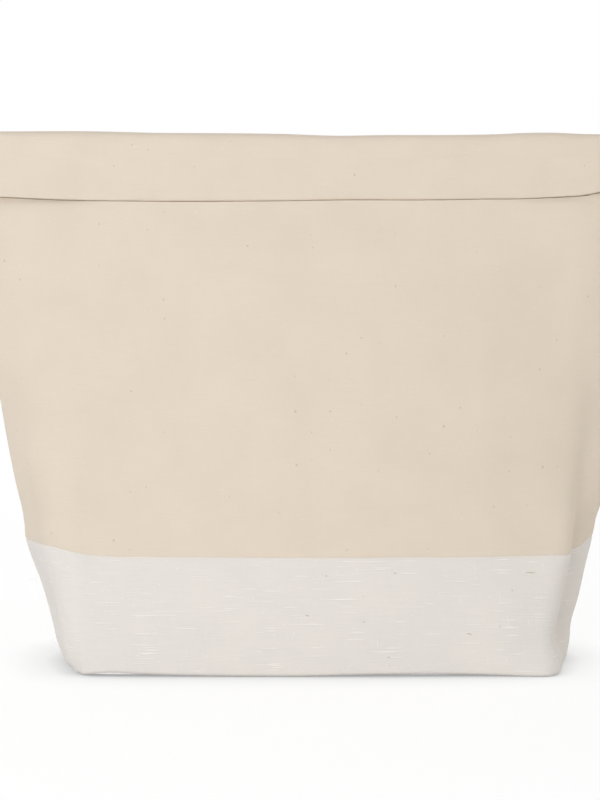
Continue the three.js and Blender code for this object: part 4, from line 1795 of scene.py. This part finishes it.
@dataclass
class FastenerTapes:
    """The loop tape on the bag and the hook tape on the inner lip."""

    wardrobe: Wardrobe
    ground: float = 0.4 * MM
    pile_height: float = 0.34 * MM
    corner_round: float = 2 * MM
    pitch: float = 1.7 * MM
    margin: float = 2.2 * MM
    stitch_inset: float = 1.1 * MM
    stitch: Stitch = Stitch(2.4 * MM, 0.5 * MM, 0.13 * MM)
    corner_points: int = 6
    least_round: float = 0.3 * MM
    edge_soft: float = 0.12 * MM
    inner_ring: float = 3 * MM
    edge_low: float = 0.3
    edge_high: float = 0.7

    # A hook's bend and height as shares of the pile, and its radius at each point
    HOOK_SHAPE = ((0.0, 0.0), (0.0, 0.55), (0.14, 0.88), (0.42, 1.0), (0.68, 0.72))
    HOOK_RADII = (0.10 * MM, 0.085 * MM, 0.075 * MM, 0.065 * MM, 0.04 * MM)
    LOOP_SEED = 41
    LOOP_PITCH = 0.78
    LOOP_POINTS = 6
    LOOP_HALF_WIDTH = (0.35 * MM, 0.6 * MM)
    LOOP_HEIGHT = (0.7, 1.0)
    LOOP_STRAY = (-0.3 * MM, 0.3 * MM)
    LOOP_RADIUS = 0.05 * MM

    def outline(self, half_x: float, half_z: float, inset: float) -> np.ndarray:
        """The rounded outline of the tape, as X and Z."""
        radius = max(self.corner_round - inset, self.least_round)
        points = []
        for number, (sx, sz) in enumerate(((1, -1), (1, 1), (-1, 1), (-1, -1))):
            start = -math.pi / 2 + number * math.pi / 2
            for angle in np.linspace(start, start + math.pi / 2, self.corner_points):
                points.append((
                    sx * (half_x - inset - radius) + radius * math.cos(angle),
                    sz * (half_z - inset - radius) + radius * math.sin(angle),
                ))
        return np.array(points)

    def band(
        self, name: str, low: Sequence[float], high: Sequence[float], pile_front: bool
    ) -> Piece:
        """The woven ground of a tape with softened edges."""
        half_x, half_z = (high[0] - low[0]) / 2, (high[2] - low[2]) / 2
        middle_z = (high[2] + low[2]) / 2
        near, far = (high[1], high[1] - self.ground) if pile_front else (low[1], low[1] + self.ground)
        soft, inner = self.edge_soft, self.inner_ring
        plan = (
            (near, inner), (near, soft), (mix(near, far, self.edge_low), 0.0),
            (mix(near, far, self.edge_high), 0.0), (far, soft), (far, inner),
        )
        rings = []
        for y, inset in plan:
            line = self.outline(half_x, half_z, inset)
            rings.append(np.column_stack([line[:, 0], np.full(len(line), y), line[:, 1] + middle_z]))
        piece = MeshMaker.stacked(name, np.array(rings), lambda row: False)
        self.wardrobe.dress(piece, TAPE)
        return piece

    def places(self, low: Sequence[float], high: Sequence[float], pitch: float) -> list[tuple[float, float]]:
        """Staggered places over a tape, as X and Z."""
        found = []
        rows = levels_between(low[2] + self.margin, high[2] - self.margin, pitch)
        for number, z in enumerate(rows):
            across = levels_between(low[0] + self.margin, high[0] - self.margin, pitch)
            shift = pitch / 2 if number % 2 else 0.0
            found += [(float(x) + shift, float(z)) for x in across[:-1]]
        return found

    def hooks(self, low: Sequence[float], high: Sequence[float]) -> Piece:
        """Rows of small bent hooks, which point at the bag."""
        paths, radii = [], []
        base = low[1] + self.ground
        bend, tall = np.array(self.HOOK_SHAPE).T * self.pile_height
        for number, (x, z) in enumerate(self.places(low, high, self.pitch)):
            turn = 1.0 if number % 2 else -1.0
            paths.append(np.column_stack([np.full(len(bend), x), base + tall, z + turn * bend]))
            radii.append(np.array(self.HOOK_RADII))
        piece = MeshMaker.strands("hook_rows", paths, radii, MeshMaker.FIBRE_SIDES)
        self.wardrobe.dress(piece, PILE)
        return piece

    def loops(self, low: Sequence[float], high: Sequence[float]) -> Piece:
        """A pile of small loops, which stand towards the folded lip."""
        draw = random.Random(self.LOOP_SEED)
        paths, radii = [], []
        base = high[1] - self.ground
        angles = np.linspace(0.0, math.pi, self.LOOP_POINTS)
        for x, z in self.places(low, high, self.pitch * self.LOOP_PITCH):
            heading = draw.uniform(0.0, math.pi)
            along = np.cos(angles) * draw.uniform(*self.LOOP_HALF_WIDTH)
            tall = self.pile_height * draw.uniform(*self.LOOP_HEIGHT)
            paths.append(np.column_stack([
                x + draw.uniform(*self.LOOP_STRAY) + along * math.cos(heading),
                base - np.sin(angles) * tall,
                z + draw.uniform(*self.LOOP_STRAY) + along * math.sin(heading),
            ]))
            radii.append(np.full(len(angles), self.LOOP_RADIUS))
        piece = MeshMaker.strands("loop_pile", paths, radii, MeshMaker.FIBRE_SIDES)
        self.wardrobe.dress(piece, PILE)
        return piece

    def stitches(
        self, name: str, low: Sequence[float], high: Sequence[float], y: float, lift: float
    ) -> Piece:
        """The line of stitches round a tape."""
        line = self.outline((high[0] - low[0]) / 2, (high[2] - low[2]) / 2, self.stitch_inset)
        line = np.vstack([line, line[:1]])
        path = np.column_stack([line[:, 0], np.full(len(line), y), line[:, 1] + (high[2] + low[2]) / 2])
        piece = MeshMaker.strands(
            name, *self.stitch.along(path, (0.0, lift, 0.0)), MeshMaker.THREAD_SIDES
        )
        self.wardrobe.dress(piece, SEWING_THREAD)
        return piece

    def build(self) -> list[Piece]:
        """Makes both tapes with their pile, hooks and stitches."""
        made = []
        for node, body, front in (("loop_tape", "bag", True), ("hook_tape", "inner_lip", False)):
            low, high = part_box(node)
            band = self.band(f"{node}_ground", low, high, front)
            face = high[1] - self.ground if front else low[1] + self.ground
            pile = self.loops(low, high) if front else self.hooks(low, high)
            thread = self.stitches(f"{node}_stitches", low, high, face, -1.0 if front else 1.0)
            for piece in (band, pile, thread):
                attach(piece, body)
                made.append(piece)
            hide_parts(node)
        return made


@dataclass
class SeamBindings:
    """The bound edges of the side seams, inside the lining."""

    cloth: Cloth
    wardrobe: Wardrobe
    width: float = 7 * MM
    half_thick: float = 0.8 * MM
    room: float = 0.5 * MM
    low: float = 9 * MM
    row_step: float = 4 * MM
    edge_points: int = 5
    edge_room: float = 0.3 * MM
    closing: float = 0.3 * MM
    sway: float = 0.25 * MM
    sway_waves: Point = (1.0, 1.0, 45.0)
    stitch_from_edge: float = 1.4 * MM
    stitch: Stitch = Stitch(2.6 * MM, 0.6 * MM, 0.14 * MM)

    def edge(self, side: Side, height: float) -> float:
        """How far out the binding may reach at a height."""
        form = self.cloth.form
        line = self.cloth.row(Face.FRONT, height, form.layers.lining)
        line = line[form.columns.middle:] if side is Side.RIGHT else line[:form.columns.middle + 1][::-1]
        away, depth = np.abs(line[:, 0]), np.abs(line[:, 1])
        reach = self.half_thick + self.room
        fits = float(np.interp(-reach, -depth, away))
        return min(fits, float(away[-1]) - self.room) - self.edge_room

    def build(self) -> list[Piece]:
        """Makes both bindings with their stitches."""
        heights = levels_between(self.low, self.cloth.form.neck_height, self.row_step)
        half = self.half_thick
        turn = np.linspace(-math.pi / 2, math.pi / 2, self.edge_points)
        made = []
        for side in Side:
            edges = np.array([self.edge(side, z) for z in heights])
            places = np.column_stack([edges, edges, heights])
            sway = self.sway * noise_field(places, self.sway_waves, Pattern.SWAY)
            inner = edges - self.width
            outline = [(edges, -self.closing), (edges, -half)]
            outline += [(inner + half - half * math.cos(a), half * math.sin(a)) for a in turn]
            outline += [(edges, half), (edges, self.closing)]
            rows = [np.column_stack([side.towards * x, y + sway, heights]) for x, y in outline]
            piece = MeshMaker.carried(f"{side.value}_binding", self.cloth.relief.risen(np.array(rows)))
            self.wardrobe.dress(piece, BINDING)
            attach(piece, "bag")
            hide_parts(f"{side.value}_seam_binding")
            made.append(piece)
            paths, radii = [], []
            for face in Face:
                x, y = side.towards * (inner + self.stitch_from_edge), face.towards * half + sway
                path = self.cloth.relief.risen(np.column_stack([x, y, heights]))
                more = self.stitch.along(path, (0.0, face.towards, 0.0))
                paths += more[0]
                radii += more[1]
            name = f"{side.value}_binding_stitches"
            thread = MeshMaker.strands(name, paths, radii, MeshMaker.THREAD_SIDES)
            self.wardrobe.dress(thread, SEWING_THREAD)
            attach(thread, "bag")
            made.append(thread)
        return made


@dataclass
class LooseFibres:
    """The fuzz of the jute-cotton cloth, a few long strays and some brown slubs."""

    cloth: Cloth
    wardrobe: Wardrobe
    foot_count: int = 520
    wall_count: int = 260
    thin: float = 0.035 * MM
    foot_low: float = 0.3 * MM
    foot_high: float = 5 * MM
    seam_room: float = 2 * MM
    foot_lengths: tuple[float, float] = (0.5 * MM, 1.5 * MM)
    wall_lengths: tuple[float, float] = (0.6 * MM, 2.6 * MM)
    front_share: float = 0.6
    root_depth: float = 0.05 * MM
    off_floor: float = 0.06 * MM
    fibre_tip: float = 0.4
    stray_at: float = 0.02
    stray_radius: float = 1.2
    stray_tip: float = 0.5
    stray_turn: float = 1.9
    slub_wave: float = 0.15 * MM
    slub_turns: float = 5.0
    slub_thin: float = 0.05 * MM
    slub_thick: float = 0.22 * MM
    slub_taper: float = 1.5

    SEED = 17
    FIBRE_POINTS = 5
    LONG_POINTS = 9
    # The ranges in which a fibre's first heading and its curl are drawn
    HEADING_OUT = (0.25, 0.9)
    HEADING_ALONG = (0.4, 1.0)
    HEADING_UP = (-0.5, 0.6)
    CURL_OUT = (-0.7, 0.2)
    CURL_UP = (-0.6, 0.6)
    # Brown slubs on the front of the base, in millimetres: X, height and length
    SLUBS = (
        (39.5, 49.5, 2.4), (105, 49.0, 6.0), (-2.5, 29.5, 2.2),
        (24.5, 26.5, 1.8), (75, 20.5, 3.4), (36.5, 9.5, 1.8),
    )
    # Long strays on the left side: height and length in millimetres, and how much they rise
    STRAYS = ((41, 5.2, -0.5), (39, 3.6, -0.2), (30, 3.4, 0.1), (24, 3.0, 0.3), (7, 3.6, 0.5))

    def spot(self, face: Face, share: float, height: float) -> tuple[np.ndarray, np.ndarray]:
        """A place on the outer face of the base and the way out from it.

        Args:
            face: the half of the bag.
            share: how far along the outline, from 0 at the left seam to 1 at the right.
            height: the level.

        Returns:
            The point and a unit vector.
        """
        foot = self.cloth.form.foot_round
        draw = foot * (1 - math.sqrt(max(1 - (1 - min(height / foot, 1.0)) ** 2, 0.0)))
        line = self.cloth.row(face, height, draw)
        at = min(max(int(share * (len(line) - 1)), 1), len(line) - 2)
        along = line[at + 1] - line[at - 1]
        out = np.cross(along, [0.0, 0.0, 1.0]) * -face.towards
        return line[at], out / np.linalg.norm(out)

    def fibre(
        self, draw: random.Random, face: Face, share: float, height: float, length: float
    ) -> np.ndarray:
        """One short curved fibre."""
        root, out = self.spot(face, share, height)
        along = np.array([out[1], -out[0], 0.0]) * draw.choice((-1.0, 1.0))
        heading = out * draw.uniform(*self.HEADING_OUT) + along * draw.uniform(*self.HEADING_ALONG)
        heading[2] += draw.uniform(*self.HEADING_UP)
        curl = out * draw.uniform(*self.CURL_OUT) + np.array([0.0, 0.0, draw.uniform(*self.CURL_UP)])
        steps = np.linspace(0.0, 1.0, self.FIBRE_POINTS)[:, None]
        path = root - out * self.root_depth + heading * length * steps + curl * length * steps ** 2
        path[:, 2] = np.maximum(path[:, 2], self.off_floor)
        return path

    def fuzz(self) -> Piece:
        """Short fibres at the foot and over the base."""
        draw = random.Random(self.SEED)
        paths, radii = [], []
        wall_high = self.cloth.form.seam_height - self.seam_room
        for count, heights, lengths in (
            (self.foot_count, (self.foot_low, self.foot_high), self.foot_lengths),
            (self.wall_count, (self.foot_high, wall_high), self.wall_lengths),
        ):
            for _ in range(count):
                face = Face.FRONT if draw.random() < self.front_share else Face.BACK
                length = draw.uniform(*lengths)
                path = self.fibre(draw, face, draw.random(), draw.uniform(*heights), length)
                paths.append(path)
                radii.append(self.thin * np.linspace(1.0, self.fibre_tip, len(path)))
        steps = np.linspace(0.0, 1.0, self.LONG_POINTS)[:, None]
        lift = np.array([0.0, 0.0, 1.0])
        for height, length, rise in self.STRAYS:
            root, out = self.spot(Face.FRONT, self.stray_at, height * MM)
            climb = rise * steps + steps ** 2 / 2
            path = root + length * MM * (out * np.sin(steps * self.stray_turn) + lift * climb)
            paths.append(path)
            radii.append(self.thin * self.stray_radius * np.linspace(1.0, self.stray_tip, len(path)))
        piece = MeshMaker.strands("loose_fibres", paths, radii, MeshMaker.FIBRE_SIDES)
        self.wardrobe.dress(piece, LOOSE_FIBRE)
        return piece

    def slubs(self) -> Piece:
        """Thick places of brown jute in the weft."""
        paths, radii = [], []
        columns = self.cloth.form.columns
        beside = columns.corner + columns.gusset
        shares = np.linspace(0.0, 1.0, self.LONG_POINTS)
        for x, height, length in np.array(self.SLUBS) * MM:
            line = self.cloth.row(Face.FRONT, height, 0.0)[beside:-beside]
            across = x + (shares - 0.5) * length
            y = np.interp(across, line[:, 0], line[:, 1])
            z = height + self.slub_wave * np.sin(shares * self.slub_turns)
            paths.append(np.column_stack([across, y, z]))
            full = np.sin(math.pi * shares) ** self.slub_taper
            radii.append(self.slub_thin + self.slub_thick * full)
        piece = MeshMaker.strands("brown_slubs", paths, radii, MeshMaker.THREAD_SIDES)
        self.wardrobe.dress(piece, BROWN_SLUB)
        return piece

    def build(self) -> list[Piece]:
        """Makes the fuzz and the slubs."""
        made = [self.fuzz(), self.slubs()]
        for piece in made:
            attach(piece, "bag")
        return made


@dataclass(frozen=True)
class Lamp:
    """A soft square lamp."""

    name: str
    place: Point
    aim: Point
    size: float
    power: float
    colour: Colour = (1.0, 1.0, 1.0)

    def build(self) -> Piece:
        """Places the lamp."""
        data = bpy.data.lights.new(self.name, "AREA")
        data.shape = "SQUARE"
        data.size = self.size
        data.energy = self.power
        data.color = self.colour
        lamp = linked(self.name, data)
        lamp.location = self.place
        lamp.rotation_euler = (Vector(self.aim) - Vector(self.place)).to_track_quat("-Z", "Y").to_euler()
        return lamp


@dataclass
class Studio:
    """The pale floor, the soft lamps and the camera."""

    lens: float = 108.0
    sensor: float = 36.0
    camera_place: Point = (-0.0060, -1.1875, 0.2102)
    camera_tilt: float = 3.890
    camera_near: float = 0.05
    camera_far: float = 50.0
    floor_half: float = 4.0
    floor_colour: float = 0.88
    floor_seen: float = 0.30
    floor_glow: float = 0.75
    # Painted shade on the floor's glow near the bag: a broad one and a narrow one at the foot, each with a
    # reach and a strength
    shade_reach: float = 29 * MM
    shade: float = 0.36
    contact_shade_reach: float = 9 * MM
    contact_shade: float = 0.30
    shade_samples: int = 8
    sky: float = 0.495

    LAMPS = (
        Lamp("key_lamp", (-0.48, -1.52, 0.20), (0.0, 0.0, 0.13), 0.85, 14.5, (0.982, 1.0, 1.026)),
        Lamp("top_lamp", (0.00, -0.60, 1.75), (0.0, 0.0, 0.13), 1.1, 3.0),
        Lamp("left_lamp", (-1.6, 0.9, 0.5), (0.0, 0.0, 0.13), 1.2, 5.9, (0.98, 1.0, 1.05)),
        Lamp("right_lamp", (1.6, 0.7, 0.5), (0.0, 0.0, 0.13), 1.2, 8.0, (1.02, 1.0, 0.96)),
        Lamp("back_lamp", (-0.6, 2.0, 1.4), (0.0, 0.0, 0.13), 1.6, 9.0),
    )

    def camera(self) -> None:
        """The camera, as far and as high as the photograph's."""
        data = bpy.data.cameras.new("camera")
        data.lens = self.lens
        data.sensor_width = self.sensor
        data.sensor_fit = "AUTO"
        data.clip_start = self.camera_near
        data.clip_end = self.camera_far
        camera = linked("camera", data)
        camera.location = self.camera_place
        camera.rotation_euler = (math.radians(90.0 - self.camera_tilt), 0.0, 0.0)
        bpy.context.scene.camera = camera

    def floor(self) -> None:
        """A white floor that keeps the bag's lamp shadow, with a glow for the camera that painted shade
        darkens near the bag.
        """
        half = self.floor_half
        mesh = bpy.data.meshes.new("floor")
        corners = [(-half, -half, 0), (half, -half, 0), (half, half, 0), (-half, half, 0)]
        mesh.from_pydata(corners, [], [(0, 1, 2, 3)])
        floor = linked("floor", mesh)
        material = bpy.data.materials.new("white_floor")
        sheet = NodeSheet.emptied(material)
        lit = sheet.add("ShaderNodeBsdfDiffuse", Color=(*[self.floor_colour] * 3, 1.0))
        seen_lit = sheet.add("ShaderNodeBsdfDiffuse", Color=(*[self.floor_seen] * 3, 1.0))
        strength: object = self.floor_glow
        # Painted shade: ambient occlusion near the bag darkens the floor's glow.
        for reach, share in ((self.shade_reach, self.shade), (self.contact_shade_reach, self.contact_shade)):
            settings = {"samples": self.shade_samples}
            opening = sheet.add("ShaderNodeAmbientOcclusion", settings, Distance=reach)
            kept = sheet.spread(opening.outputs["AO"], 0.0, 1.0, 1.0 - share, 1.0)
            strength = sheet.times(strength, kept)
        glow = sheet.add("ShaderNodeEmission", Strength=strength)
        seen = sheet.add("ShaderNodeAddShader", in0=seen_lit.outputs[0], in1=glow.outputs[0])
        path = sheet.add("ShaderNodeLightPath")
        both = sheet.add(
            "ShaderNodeMixShader", in0=path.outputs["Is Camera Ray"], in1=lit.outputs[0], in2=seen.outputs[0]
        )
        sheet.add("ShaderNodeOutputMaterial", Surface=both.outputs[0])
        mesh.materials.append(material)

    def sky_light(self) -> None:
        """An even sky, white where the camera sees it."""
        world = bpy.data.worlds.new("studio")
        sheet = NodeSheet.emptied(world)
        seen = sheet.add("ShaderNodeLightPath")
        shown = sheet.math("MAXIMUM", seen.outputs["Is Camera Ray"], seen.outputs["Is Glossy Ray"])
        shown = sheet.math("MAXIMUM", shown, seen.outputs["Is Transmission Ray"])
        strength = sheet.spread(shown, 0.0, 1.0, self.sky, 1.0)
        sky = sheet.add("ShaderNodeBackground", Color=(1.0, 1.0, 1.0, 1.0), Strength=strength)
        sheet.add("ShaderNodeOutputWorld", Surface=sky.outputs[0])
        bpy.context.scene.world = world

    def build(self) -> None:
        """Sets the stage."""
        self.camera()
        self.floor()
        self.sky_light()
        for lamp in self.LAMPS:
            lamp.build()
        bpy.context.scene.view_settings.view_transform = "Standard"


def main() -> None:
    """Builds the bag and its stage, and reports each piece."""
    logging.basicConfig(level=logging.INFO, format="%(message)s")
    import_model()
    Studio().build()
    cloth = Cloth(BagForm.from_frame())
    wardrobe = Wardrobe()
    assemblies = (
        BaseTray(cloth, wardrobe),
        Walls(cloth, wardrobe),
        SeamBindings(cloth, wardrobe),
        Fold(cloth, wardrobe),
        Lips(cloth, wardrobe),
        FastenerTapes(wardrobe),
        LooseFibres(cloth, wardrobe),
    )
    for assembly in assemblies:
        for piece in assembly.build():
            log.info("%s: %d faces", piece.name, len(piece.data.polygons))


if __name__ == "__main__":
    main()
